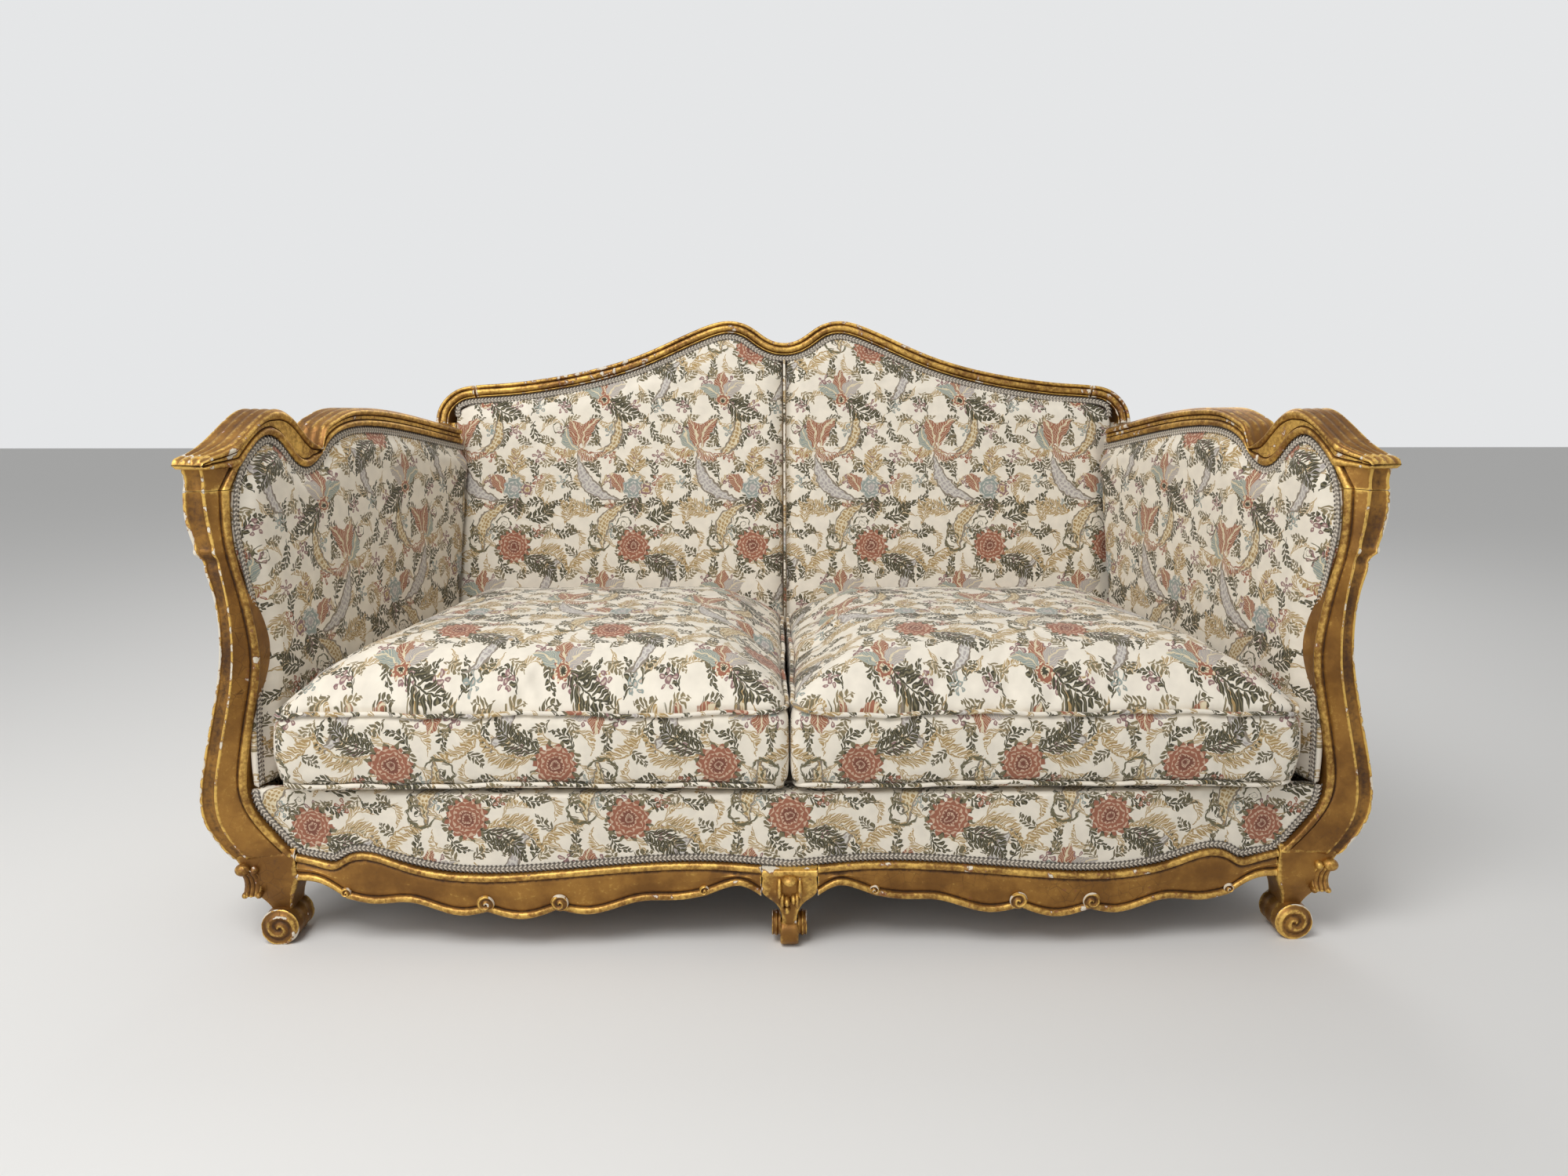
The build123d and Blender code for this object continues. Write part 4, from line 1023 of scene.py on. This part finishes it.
knee_rows = np.array([
    # height, inner x, outer x, front y
    (150, 779.6, 874, -408), (130, 779.6, 866, -408), (104, 780, 862, -407), (88, 786, 857, -404),
    (70, 793, 841, -400), (50, 796, 828, -398), (30, 794, 830, -398),
])[::-1]
knee_heights = np.linspace(30, 158, 54)
knee_table = spline(knee_rows[:, 0], knee_rows[:, 1:], np.minimum(knee_heights, 150))
knee_across = np.array([
    # share of the width, how far it stands out
    (0, -6), (0.02, -2), (0.06, 0), (0.3, 1.2), (0.6, 1.2), (0.9, 0), (0.97, -3), (1, -8),
])


def knee_section(z, inner, outer, front):
    """One section of a knee: a plain face that rounds off more and more towards the foot."""
    rounding = min(1, max(149.5 - z, 0) / 45)
    tucked = 0.8 * max(z - 149.5, 0)
    x = inner + (outer - tucked - inner) * knee_across[:, 0]
    y = front - rounding * knee_across[:, 1] + tucked
    x, y = np.append(x, [outer, inner]), np.append(y, [-350, -350])
    return np.stack([x, y, np.full(len(x), z)], axis=1)


knee_body = loft([knee_section(z, *row) for z, row in zip(knee_heights, knee_table)])
bracket_points = [(80, -10), (82, 2), (86, 6), (90, 4), (98, 0), (106, -0.5), (114, 1), (122, 5), (128, 6)]
bracket_up = np.linspace(80, 128, 49)
bracket_out = rise(bracket_points, bracket_up)
bracket_rows = []
for share in np.linspace(0, 1, 49):
    reed = 2.5 * abs(cos(4 * pi * share)) - 9 * abs(2 * share - 1) ** 8
    y = np.append(-408 - bracket_out - reed, [-375, -375])
    z = np.append(bracket_up, [128, 80])
    bowed = 0.06 * (z - 104) + 0.004 * (z - 104) ** 2
    bracket_rows.append(np.stack([835 + 29 * share + bowed, y, z], axis=1))
bracket_rolls = [
    egg(860, -411, 128, 12, 11, 10), egg(842, -410, 127, 6, 8, 7),
    egg(838, -411, 85, 5, 8, 5), egg(860, -411, 85, 5, 8, 5),
]
foot = volute(812, 28.5, 30, -416, -350, 1.9, 4)
gilt_pair("front_post", [post_body, knee_body, foot, loft(bracket_rows)] + bracket_rolls)

# %% [markdown]
# ## Apron and centre leg
# The apron is bowed in plan and cut to C-scrolls along its lower edge. A bead follows the top edge and
# another the lower one, with small rolled knobs at the cusps. The centre leg is a shield with a cartouche of
# raised ovals on it, and its foot is a roll between two reeded curls.

# %% Apron
apron_top = [
    (0, 136), (90, 142), (176, 142), (395, 131), (610, 143), (697, 149), (714, 139), (740, 141), (779, 149),
]
apron_plan = [(0, -438), (60, -434), (140, -428), (390, -437), (600, -425), (779, -406)]
apron_runs = [
    [(44, 90), (75, 106), (105, 100), (132, 88)],
    [(132, 88), (177, 80), (234, 79), (318, 60), (363, 70)],
    [(363, 70), (419, 54), (474, 66)],
    [(474, 66), (516, 58), (596, 77), (655, 72), (700, 79)],
    [(700, 79), (742, 103), (779, 106)],
]
apron_along = np.linspace(44.4, 778.6, 368)
apron_low = np.zeros_like(apron_along)
for run in apron_runs:
    inside = (apron_along >= run[0][0]) & (apron_along <= run[-1][0])
    apron_low[inside] = rise(run, apron_along[inside])
apron_high = rise(apron_top, apron_along)
apron_front = rise(apron_plan, apron_along)
lower_bead = moulding((0, -3), (0, 11, -3, 5), (12, -5))
upper_bead = moulding((-13, -5), (-11, 0, -4, 5), (0, -4))


def apron_section(x, low, high, front):
    """One section across the apron: lower bead, hollow face, upper bead and a plain back."""
    flat_up = [low + 16, (low + high) / 2, high - 17]
    face_up = np.concatenate([low + lower_bead[:, 0], flat_up, high + upper_bead[:, 0]])
    out = np.concatenate([lower_bead[:, 1], [-2.5, -1.0, -2.5], upper_bead[:, 1]])
    y = np.append(front - out, [-372.2, -372.2])
    z = np.append(face_up, [high, low])
    return np.stack([np.full(len(z), x), y, z], axis=1)


apron_body = loft([apron_section(*row) for row in zip(apron_along, apron_low, apron_high, apron_front)])
knobs = [volute(x, z, r, front, -385, 1.4, 3) for x, z, r, front in (
    (476, 80, 14, -439), (360, 82, 14, -441), (700, 90, 8, -419), (134, 97, 8, -431))]
gilt_pair("apron", [apron_body] + knobs)

# %% Centre leg
leg_rows = np.array([
    # height, half width, front y
    (16, 12, -424), (40, 12, -428), (56, 13, -431), (68, 17, -433), (80, 26, -435), (90, 38, -437),
    (98, 43.6, -438), (110, 43.6, -438), (138, 43.4, -437),
])
leg_heights = np.linspace(16, 138, 70)
leg_table = spline(leg_rows[:, 0], leg_rows[:, 1:], leg_heights)
leg_across = np.array([
    # share of the half width, how far it stands out
    (-1, -7), (-0.98, -3.5), (-0.9, -1.5), (-0.5, 0), (0, 0.5), (0.5, 0), (0.9, -1.5), (0.98, -3.5), (1, -7),
])


def leg_section(z, half, front):
    """One section of the centre leg: a face that is rounded off at its sides, and a plain back."""
    x, y = leg_across[:, 0] * half, front - leg_across[:, 1]
    x, y = np.append(x, [half, -half]), np.append(y, [-372.2, -372.2])
    return np.stack([x, y, np.full(len(x), z)], axis=1)


def roll(start, end, y, z, radius, reeds):
    """A rolled foot across the leg, with reeds round it."""
    around = np.linspace(0, 2 * pi, 60, endpoint=False)
    rows = []
    for share in np.linspace(0, 1, 45):
        reed = 0.10 * (0.5 - 0.5 * cos(2 * pi * reeds * share)) if reeds > 1 else 0
        r = radius * (1 - reed) - 3.5 * abs(2 * share - 1) ** 10
        x = np.full(60, start + (end - start) * share)
        rows.append(np.stack([x, y + r * np.cos(around), np.maximum(z + r * np.sin(around), 0)], 1))
    return loft(rows)


bead_turns = np.linspace(0, 2 * pi, 16, endpoint=False)
top_bead_rows = [
    [(x, -437.5 + 4 * cos(turn), 131 + 5.5 * sin(turn)) for turn in bead_turns]
    for x in np.linspace(-43.4, 43.4, 12)
]
gilt_piece("centre_leg_carved", [
    loft([leg_section(z, *row) for z, row in zip(leg_heights, leg_table)]), loft(top_bead_rows),
    egg(-16, -436, 106, 5, 13, 18), egg(16, -436, 106, 5, 13, 18), egg(-11.5, -435, 85, 5, 13, 14),
    egg(11.5, -435, 85, 5, 13, 14), egg(0, -438, 120, 12, 15, 9), egg(-4, -436, 85, 6, 15, 9),
    egg(6, -436, 88, 5, 13, 9), egg(-4, -433, 70, 6, 13, 9), roll(-14.5, 14.5, -416, 21, 21, 1),
    roll(-28, -13.5, -407, 31, 20.5, 2), roll(13.5, 28, -407, 31, 20.5, 2),
], "centre_leg")

# %% [markdown]
# ## Braid
# A looped braid covers the tacks along the back, the arms and the border. A geometry tree makes it: the path
# becomes a curve, its points are spaced one plait apart, and on each sits the same small unit, turned to the
# path and to the side that it faces. The unit is a backing strip, two light strands that cross and a dark
# loop at each edge. A thread attribute tells the material which strands are light.

# %% Braid material and unit
braid_pitch, braid_width = 0.007, 0.014
braid, web, shader = new_material("braid")
thread = web.add("ShaderNodeAttribute", out="Fac", attribute_name="thread")
grain = web.add("ShaderNodeTexNoise", web.add("ShaderNodeTexCoord", out="Object"), 900.0, 2.0)
worn = web.math("MULTIPLY_ADD", grain, 0.35, web.math("MULTIPLY_ADD", thread, 0.9, -0.15), clamp=True)
web.fill(shader["Base Color"], web.mix(worn, linear(74, 66, 58), linear(216, 206, 190)))
shader["Roughness"].default_value = 0.75
shader["Sheen Weight"].default_value = 0.2

tree = bpy.data.node_groups.new("braid_along_path", "GeometryNodeTree")
for title, kind in (("Path", "Geometry"), ("Pitch", "Float"), ("Width", "Float"), ("Facing", "Vector")):
    tree.interface.new_socket(title, in_out="INPUT", socket_type="NodeSocket" + kind)
tree.interface.new_socket("Braid", in_out="OUTPUT", socket_type="NodeSocketGeometry")
web = Web(tree)
given = tree.nodes.new("NodeGroupInput").outputs
unit = web.add("GeometryNodeJoinGeometry", out=None)


def add_strand(along, across, high, turn, size, light):
    """One strand of the unit: a ball drawn out, placed in shares of the pitch and the width."""
    ball = web.add("GeometryNodeMeshIcoSphere", 1.0, 2)
    place = web.add("ShaderNodeCombineXYZ", web.math("MULTIPLY", given["Pitch"], along),
                    web.math("MULTIPLY", given["Width"], across), high)
    moved = web.add("GeometryNodeTransform", ball, place, (0, 0, radians(turn)), size)
    marked = web.add("GeometryNodeStoreNamedAttribute", out=None, domain="POINT", data_type="FLOAT")
    web.fill(marked.inputs["Geometry"], moved)
    web.fill(marked.inputs["Name"], "thread")
    web.fill(marked.inputs["Value"], light)
    tree.links.new(marked.outputs[0], unit.inputs[0])


add_strand(0.0, 0.0, 0.0004, 0, (0.0042, 0.0056, 0.0007), 0.35)
add_strand(0.0, 0.17, 0.0014, 38, (0.0034, 0.0012, 0.0011), 1.0)
add_strand(0.0, -0.17, 0.0014, -38, (0.0034, 0.0012, 0.0011), 1.0)
add_strand(0.5, 0.40, 0.0011, 0, (0.0022, 0.0013, 0.0010), 0.0)
add_strand(0.5, -0.40, 0.0011, 0, (0.0022, 0.0013, 0.0010), 0.0)

curve = web.add("GeometryNodeMeshToCurve", given["Path"])
spaced = web.add("GeometryNodeResampleCurve", out=None, mode="LENGTH")
web.fill(spaced.inputs["Curve"], curve)
web.fill(spaced.inputs["Length"], given["Pitch"])
heading = web.add("FunctionNodeAxesToRotation", out=None, primary_axis="Z", secondary_axis="X")
web.fill(heading.inputs[0], given["Facing"])
web.fill(heading.inputs[1], web.add("GeometryNodeInputTangent"))
plaits = web.add("GeometryNodeInstanceOnPoints", out=None)
web.fill(plaits.inputs["Points"], spaced.outputs[0])
web.fill(plaits.inputs["Instance"], unit.outputs[0])
web.fill(plaits.inputs["Rotation"], heading.outputs[0])
whole = web.add("GeometryNodeRealizeInstances", plaits.outputs[0])
dressed = web.add("GeometryNodeSetMaterial", out=None)
web.fill(dressed.inputs["Geometry"], whole)
web.fill(dressed.inputs["Material"], braid)
web.fill(tree.nodes.new("NodeGroupOutput").inputs[0], dressed.outputs[0])
print("braid tree:", len(tree.nodes), "nodes")

# %% Braid pieces
braid_identifiers = {
    item.name: item.identifier for item in tree.interface.items_tree if item.in_out == "INPUT"
}


def lay_braid(name, path, facing, node):
    """Braid along a path in millimetres, in place of its CAD node."""
    line = bpy.data.meshes.new(name + "_path")
    line.from_pydata((np.asarray(path) / 1000).tolist(), [(i, i + 1) for i in range(len(path) - 1)], [])
    maker = bpy.data.objects.new(name + "_maker", line)
    scene.collection.objects.link(maker)
    worker = maker.modifiers.new("braid", "NODES")
    worker.node_group = tree
    worker[braid_identifiers["Pitch"]] = braid_pitch
    worker[braid_identifiers["Width"]] = braid_width
    worker[braid_identifiers["Facing"]] = facing
    mesh = bpy.data.meshes.new_from_object(maker.evaluated_get(bpy.context.evaluated_depsgraph_get()))
    bpy.data.objects.remove(maker)
    mesh.name = name
    mesh.shade_smooth()
    show(name, mesh, braid, "frame", "braid", node)
    print(name, len(mesh.polygons), "faces")


half_gimp = 7.0
braid_line = crest_line + crest_in * (28.5 + half_gimp)
apart = np.array([np.linalg.norm(crest_line - point, axis=1).min() for point in braid_line])
braid_line = braid_line[apart > 28.4 + half_gimp]
braid_line = braid_line[np.abs(braid_line[:, 0]) < 690.5]
ends = [(-690.5, 405.0)], [(690.5, 405.0)]
braid_line = smooth_line(np.concatenate([ends[0], braid_line[::4], ends[1]]), 3)
lay_braid(
    "back_braid", from_back(braid_line[:, 0], braid_line[:, 1], 8.0),
    (0, -cos(back_rake), sin(back_rake)), "back_gimp",
)

arm_braid = arm_line + sideways(arm_line) * (0.5 + half_gimp)
arm_braid = arm_braid[(arm_braid[:, 0] > -70) & (arm_braid[:, 1] > 266)]
arm_path = from_arm(arm_braid[:, 0], arm_braid[:, 1], 0.0)
lay_braid("right_arm_braid", arm_path, (-cos(arm_splay), -sin(arm_splay), 0), "right_arm_gimp")
lay_braid("left_arm_braid", arm_path * (-1, 1, 1), (cos(arm_splay), -sin(arm_splay), 0), "left_arm_gimp")

rising = [(row[3], row[0]) for row in post_rows[:4]] + [(841, 254)]
edge_line = smooth_line(apron_top[:-1] + rising, 3)
border_line = edge_line + sideways(edge_line) * -half_gimp
border_line = np.concatenate([border_line[:0:-1] * (-1, 1), border_line])
border_node = nodes["border_gimp"].data
strip = BVHTree.FromPolygons([v.co for v in border_node.vertices], [p.vertices for p in border_node.polygons])
border_path = []
for x, z in border_line:
    ahead = strip.ray_cast(Vector((x / 1000, -1, z / 1000)), Vector((0, 1, 0)))[0]
    if ahead is not None:
        border_path.append((x, ahead.y * 1000 + 2.5, z))
lay_braid("border_braid", border_path, (0, -1, 0), "border_gimp")

# %% [markdown]
# ## Fixed padding
# The padding of the back, arms and front border is stretched over wadding and tacked to the frame. Each pad
# starts as a copy of its CAD solid. A voxel remesh gives it an even skin, and smoothing rounds its edges, as
# the cloth does when it is pulled tight. The arms' cloth is drawn down to the border, and a thin welt covers
# the seam in the middle of the back. The cloth's map is laid on afterwards, in metres.

# %% Pads
def merged_copy(node):
    """A copy of a CAD node's mesh with its loose triangles joined."""
    mesh = nodes[node].data.copy()
    tidy = bmesh.new()
    tidy.from_mesh(mesh)
    bmesh.ops.remove_doubles(tidy, verts=tidy.verts, dist=1e-5)
    tidy.to_mesh(mesh)
    tidy.free()
    return mesh


def soft_copy(name, node, voxel, rounds):
    """A smooth closed skin over a CAD solid."""
    mesh = merged_copy(node)
    maker = bpy.data.objects.new(name + "_maker", mesh)
    scene.collection.objects.link(maker)
    remesh = maker.modifiers.new("skin", "REMESH")
    remesh.mode = "VOXEL"
    remesh.voxel_size = voxel
    smooth = maker.modifiers.new("pull", "SMOOTH")
    smooth.factor = 0.5
    smooth.iterations = rounds
    made = bpy.data.meshes.new_from_object(maker.evaluated_get(bpy.context.evaluated_depsgraph_get()))
    bpy.data.objects.remove(maker)
    made.name = name
    made.shade_smooth()
    return made


def lay_cloth(mesh, to_cloth):
    """Lays the cloth's map on a mesh from its points' places, in metres."""
    place = np.zeros(len(mesh.vertices) * 3)
    mesh.vertices.foreach_get("co", place)
    corner = np.zeros(len(mesh.loops), int)
    mesh.loops.foreach_get("vertex_index", corner)
    flat = np.stack(to_cloth(*place.reshape(-1, 3).T), axis=1)[corner]
    layer = mesh.uv_layers.new(name="cloth")
    layer.data.foreach_set("uv", flat.astype(np.float32).ravel())


def back_cloth(x, y, z):
    return x + 0.068, (z - 0.4) * cos(back_rake) + (y - back_line[0] / 1000) * sin(back_rake) - 0.126


def arm_cloth(x, y, z):
    return (arm_start[1] / 1000 - y) / cos(arm_splay), z + 0.05


def border_cloth(x, y, z):
    return x, z + y + 0.205


arm_foot, border_top, arm_kept = 0.264, 0.256, 0.300
for side in ("left", "right"):
    back = soft_copy(side + "_back_upholstery", side + "_back_pad", 0.006, 24)
    lay_cloth(back, back_cloth)
    piece = show(side + "_back_upholstery", back, brocade_cloth, "frame", "brocade", side + "_back_pad")
    arm = soft_copy(side + "_arm_upholstery", side + "_arm_pad", 0.005, 16)
    for vertex in arm.vertices:
        vertex.co.z = np.interp(vertex.co.z, (arm_foot, arm_kept, 2), (border_top, arm_kept, 2))
    lay_cloth(arm, arm_cloth)
    piece = show(side + "_arm_upholstery", arm, brocade_cloth, "frame", "brocade", side + "_arm_pad")

welt_up = np.array([-60, 100, 300, 470, 495, 512, 524], float)
welt_out = np.array([25, 25, 25, 24.5, 21, 13, 8], float)
around = np.linspace(0, 2 * pi, 10, endpoint=False)
welt_across, welt_swell = 2.4 * np.cos(around), 2.4 * np.sin(around)
welt_rows = [
    from_back(welt_across, up + 0 * around, out + welt_swell) for up, out in zip(welt_up, welt_out)
]
welt = body_mesh("back_seam_welt", [loft(welt_rows)], False)
welt.shade_smooth()
lay_cloth(welt, lambda x, y, z: (x + y, z))
show("back_seam_welt", welt, brocade_cloth, "frame", "brocade")

border = soft_copy("front_border_upholstery", "front_border", 0.005, 4)
lay_cloth(border, border_cloth)
show("front_border_upholstery", border, brocade_cloth, "frame", "brocade", "front_border")
print("pads made")

# %% [markdown]
# ## Outside covers and linings
# The outside of the back and arms, the deck under the cushions and the dust cover are flat cloths stretched
# over the frame. Each keeps its CAD piece's place.

# %% Sheets
def sheet_copy(name, node, material, slot, to_cloth):
    """A stretched cloth in the place of a thin CAD sheet."""
    mesh = merged_copy(node)
    mesh.name = name
    mesh.shade_smooth()
    mesh.set_sharp_from_angle(angle=radians(30))
    lay_cloth(mesh, to_cloth)
    piece = show(name, mesh, material, "frame", slot, node)
    return piece


def flat_cloth(x, y, z):
    return x, y


sheet_copy("outer_back_cloth", "outer_back_cover", brocade_cloth, "brocade", back_cloth)
for side in ("left", "right"):
    name, node = side + "_outer_arm_cloth", side + "_outer_arm_cover"
    sheet_copy(name, node, brocade_cloth, "brocade", arm_cloth)
sheet_copy("deck_lining_cloth", "deck_cloth", deck_lining, "lining", flat_cloth)
sheet_copy("dust_lining_cloth", "dust_cover", dust_lining, "lining", flat_cloth)
print("sheets made")

# %% [markdown]
# ## Loose cushions
# Each seat cushion is a box cushion: a crowned top, a bottom, and boxing between two piped seams. Its skin is
# blown up by the Cloth simulation from the filling's shape, a little smaller, with a limit on how far a point
# may move, so that it swells between its seams as a full cushion does.

# %% Cushion skins
last_frame, slack = 20, 0.002


def blown(name, node, voxel, pressure, limit):
    """A cushion's skin, blown up from a CAD filling."""
    skin = soft_copy(name, node, voxel, 3)
    maker = bpy.data.objects.new(name + "_maker", skin)
    scene.collection.objects.link(maker)
    before = np.array([vertex.co for vertex in skin.vertices])
    facing = np.array([vertex.normal for vertex in skin.vertices])
    cloth = maker.modifiers.new("cloth", "CLOTH")
    cloth.settings.use_pressure = True
    cloth.settings.uniform_pressure_force = pressure
    cloth.settings.effector_weights.gravity = 0
    cloth.point_cache.frame_start, cloth.point_cache.frame_end = 1, last_frame
    for number in range(1, last_frame + 1):
        scene.frame_set(number)
    made = bpy.data.meshes.new_from_object(maker.evaluated_get(bpy.context.evaluated_depsgraph_get()))
    scene.frame_set(1)
    bpy.data.objects.remove(maker)
    move = np.array([vertex.co for vertex in made.vertices]) - before
    swell = (move * facing).sum(1)
    room = slack + limit * np.maximum(facing[:, 2], 0) + 0.5 * limit * np.maximum(-facing[:, 1], 0)
    room = np.where(facing[:, 2] < -0.3, 0.0, room)
    after = before + facing * np.clip(swell, -slack, room)[:, None]
    made.vertices.foreach_set("co", after.astype(np.float32).ravel())
    made.shade_smooth()
    return made


seam_step, cushion_corner, half_gap = 8.0, 30.0, 1.5
cushion_front, cushion_bottom = -438.0, 258.0
cushion_front_half, cushion_rear_half = 806.0, 675.9


def ring(height, drawn):
    """The right cushion's outline in plan at a height of its CAD form, drawn in by this much."""
    rear = back_line[0] + (height - back_line[1]) * tan(back_rake) - 24 / cos(back_rake) - 3 - drawn
    front = cushion_front + drawn
    depth = back_line[0] + (cushion_bottom - back_line[1]) * tan(back_rake) - cushion_front
    slope = (cushion_front_half - cushion_rear_half) / depth
    corners = [
        (half_gap + drawn, rear), (half_gap + drawn, front),
        (cushion_front_half - (front - cushion_front) * slope - drawn, front),
        (cushion_front_half - (rear - cushion_front) * slope - drawn, rear),
    ]
    rounded = []
    for i in range(4):
        before, here, after = (np.array(corners[(i + k) % 4], float) for k in (-1, 0, 1))
        start = here + cushion_corner * (before - here) / np.linalg.norm(before - here)
        end = here + cushion_corner * (after - here) / np.linalg.norm(after - here)
        for share in np.linspace(0, 1, 5):
            rounded.append((1 - share) ** 2 * start + 2 * share * (1 - share) * here + share**2 * end)
    rounded.append(rounded[0])
    rounded = np.array(rounded)
    length = np.concatenate([[0], np.cumsum(np.linalg.norm(np.diff(rounded, axis=0), axis=1))])
    even = np.linspace(0, length[-1], round(length[-1] / seam_step), endpoint=False)
    return np.stack([np.interp(even, length, rounded[:, axis]) for axis in (0, 1)], axis=1)


def tube(path, radius, sides=10):
    """A closed round cord along a closed path in millimetres."""
    path = np.asarray(path, float)
    way = np.roll(path, -1, axis=0) - np.roll(path, 1, axis=0)
    way /= np.linalg.norm(way, axis=1)[:, None]
    up = np.array([0, 0, 1.0])
    side = np.cross(way, up)
    side /= np.linalg.norm(side, axis=1)[:, None]
    lift = np.cross(side, way)
    around = np.linspace(0, 2 * pi, sides, endpoint=False)
    outwards = np.cos(around)[:, None] * side[:, None] + np.sin(around)[:, None] * lift[:, None]
    rows = path[:, None] + radius * outwards
    count = len(path)
    index = np.arange(count * sides).reshape(count, sides)
    following, ahead = np.roll(index, -1, axis=1), np.roll(index, -1, axis=0)
    both = np.roll(ahead, -1, axis=1)
    return rows.reshape(-1, 3), np.stack([index, following, both, ahead], axis=-1).reshape(-1, 4).tolist()


def nearest_on(path, points):
    """For each point: the nearest point of a closed path, its distance and how far along the path it is."""
    tree = KDTree(len(path))
    for number, point in enumerate(path):
        tree.insert(point, number)
    tree.balance()
    found = [tree.find(point) for point in points]
    number = np.array([hit[1] for hit in found])
    way = np.roll(path, -1, axis=0) - np.roll(path, 1, axis=0)
    way /= np.linalg.norm(way, axis=1)[:, None]
    past = ((points - path[number]) * way[number]).sum(1)
    return number, np.array([hit[2] for hit in found]), number * seam_step + past


print("cushion helpers ready")

# %% [markdown]
# The two cushions press together, so the inner side of each is first stretched to the middle. The seams are
# found on the blown skin: the outline of the CAD cushion at the height of each seam, waved a little, moves to
# the nearest point of the skin. Then the skin is drawn in along them and puckers, piping goes on each, and
# the cloth is laid flat on the top and bottom and upright, turned head down, on the boxing.

# %% Cushions
seam_levels = {"lower": (266.0, 8.0), "upper": (390.0, 7.0)}
meeting_reach = 60.0
cushion_pressure = {"left": 4.0, "right": 3.0}
for side in ("left", "right"):
    body = side + "_cushion"
    flip = -1 if side == "left" else 1
    skin = blown(side + "_cushion_skin", side + "_cushion_filling", 0.007, cushion_pressure[side], 0.015)
    place = np.array([vertex.co for vertex in skin.vertices]) * 1000
    inner, across = np.abs(place[:, 0]).min(), np.abs(place[:, 0])
    share = (across - inner) / (meeting_reach - inner)
    across = np.where(share < 1, 0.6 + (meeting_reach - 0.6) * share**1.6, across)
    place[:, 0] = flip * across
    skin.vertices.foreach_set("co", (place / 1000).astype(np.float32).ravel())
    skin.update()
    shape = BVHTree.FromPolygons([v.co for v in skin.vertices], [p.vertices for p in skin.polygons])
    seams = []
    for level, drawn in seam_levels.values():
        path = []
        for number, (x, y) in enumerate(ring(level, drawn)):
            wave = 3.6 * sin(number * 0.17 + flip) + 1.8 * sin(number * 0.49)
            spot_on = shape.find_nearest(Vector((flip * x, y, level + wave)) / 1000)[0]
            path.append(np.array(spot_on) * 1000)
        path = np.array(path)
        for _ in range(3):
            path = (np.roll(path, 1, axis=0) + path * 2 + np.roll(path, -1, axis=0)) / 4
        seams.append(path)

    facing = np.array([vertex.normal for vertex in skin.vertices])
    drawn_in = np.zeros(len(place))
    for path in seams:
        number, apart, along = nearest_on(path, place)
        pucker = 1 + 0.4 * np.sin(along * 0.2 + flip) + 0.3 * np.sin(along * 0.37)
        drawn_in += 3.5 * np.exp(-(apart / 8) ** 2) + 1.6 * pucker * np.exp(-(apart / 24) ** 2)
    lumps = np.array([noise(Vector(point) * 0.009 + Vector((flip, 0, 0))) for point in place])
    drawn_in += 2.5 * (0.5 + lumps) * np.maximum(facing[:, 2], 0)
    place -= facing * drawn_in[:, None] * (facing[:, 2] > -0.6)[:, None]
    skin.vertices.foreach_set("co", (place / 1000).astype(np.float32).ravel())
    skin.update()

    outline = np.concatenate([ring(330, 0) * (flip, 1), np.full((len(ring(330, 0)), 1), 330.0)], axis=1)
    along = nearest_on(outline, place * (1, 1, 0) + (0, 0, 330))[2] / 1000
    centres = np.array([face.center for face in skin.polygons]) * 1000
    under, over = (path[nearest_on(path, centres)[0], 2] for path in seams)
    on_boxing = (centres[:, 2] > under) & (centres[:, 2] < over)
    boxed = np.repeat(on_boxing, [len(face.vertices) for face in skin.polygons])
    corner = np.array([loop.vertex_index for loop in skin.loops])
    x, y, z = (place[corner] / 1000).T
    flat = np.stack([np.where(boxed, along[corner], x + 0.04), np.where(boxed, 0.307 - z, y + 0.26)], axis=1)
    skin.uv_layers.new(name="cloth").data.foreach_set("uv", flat.astype(np.float32).ravel())

    inside = body + "_cover", body + "_filling"
    show(side + "_cushion_skin", skin, brocade_cloth, body, "brocade", *inside)
    piping = body_mesh(side + "_cushion_piping", [tube(path, 3.6) for path in seams], False)
    piping.shade_smooth()
    lay_cloth(piping, lambda x, y, z: (x + y, z))
    show(side + "_cushion_piping", piping, brocade_cloth, body, "brocade")
    print(side, "cushion", len(skin.polygons), "faces")

# %% Sizes
size = {"cad": [list(corner) for corner in cad_box], "visual": [list(corner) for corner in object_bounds()]}
print(size)
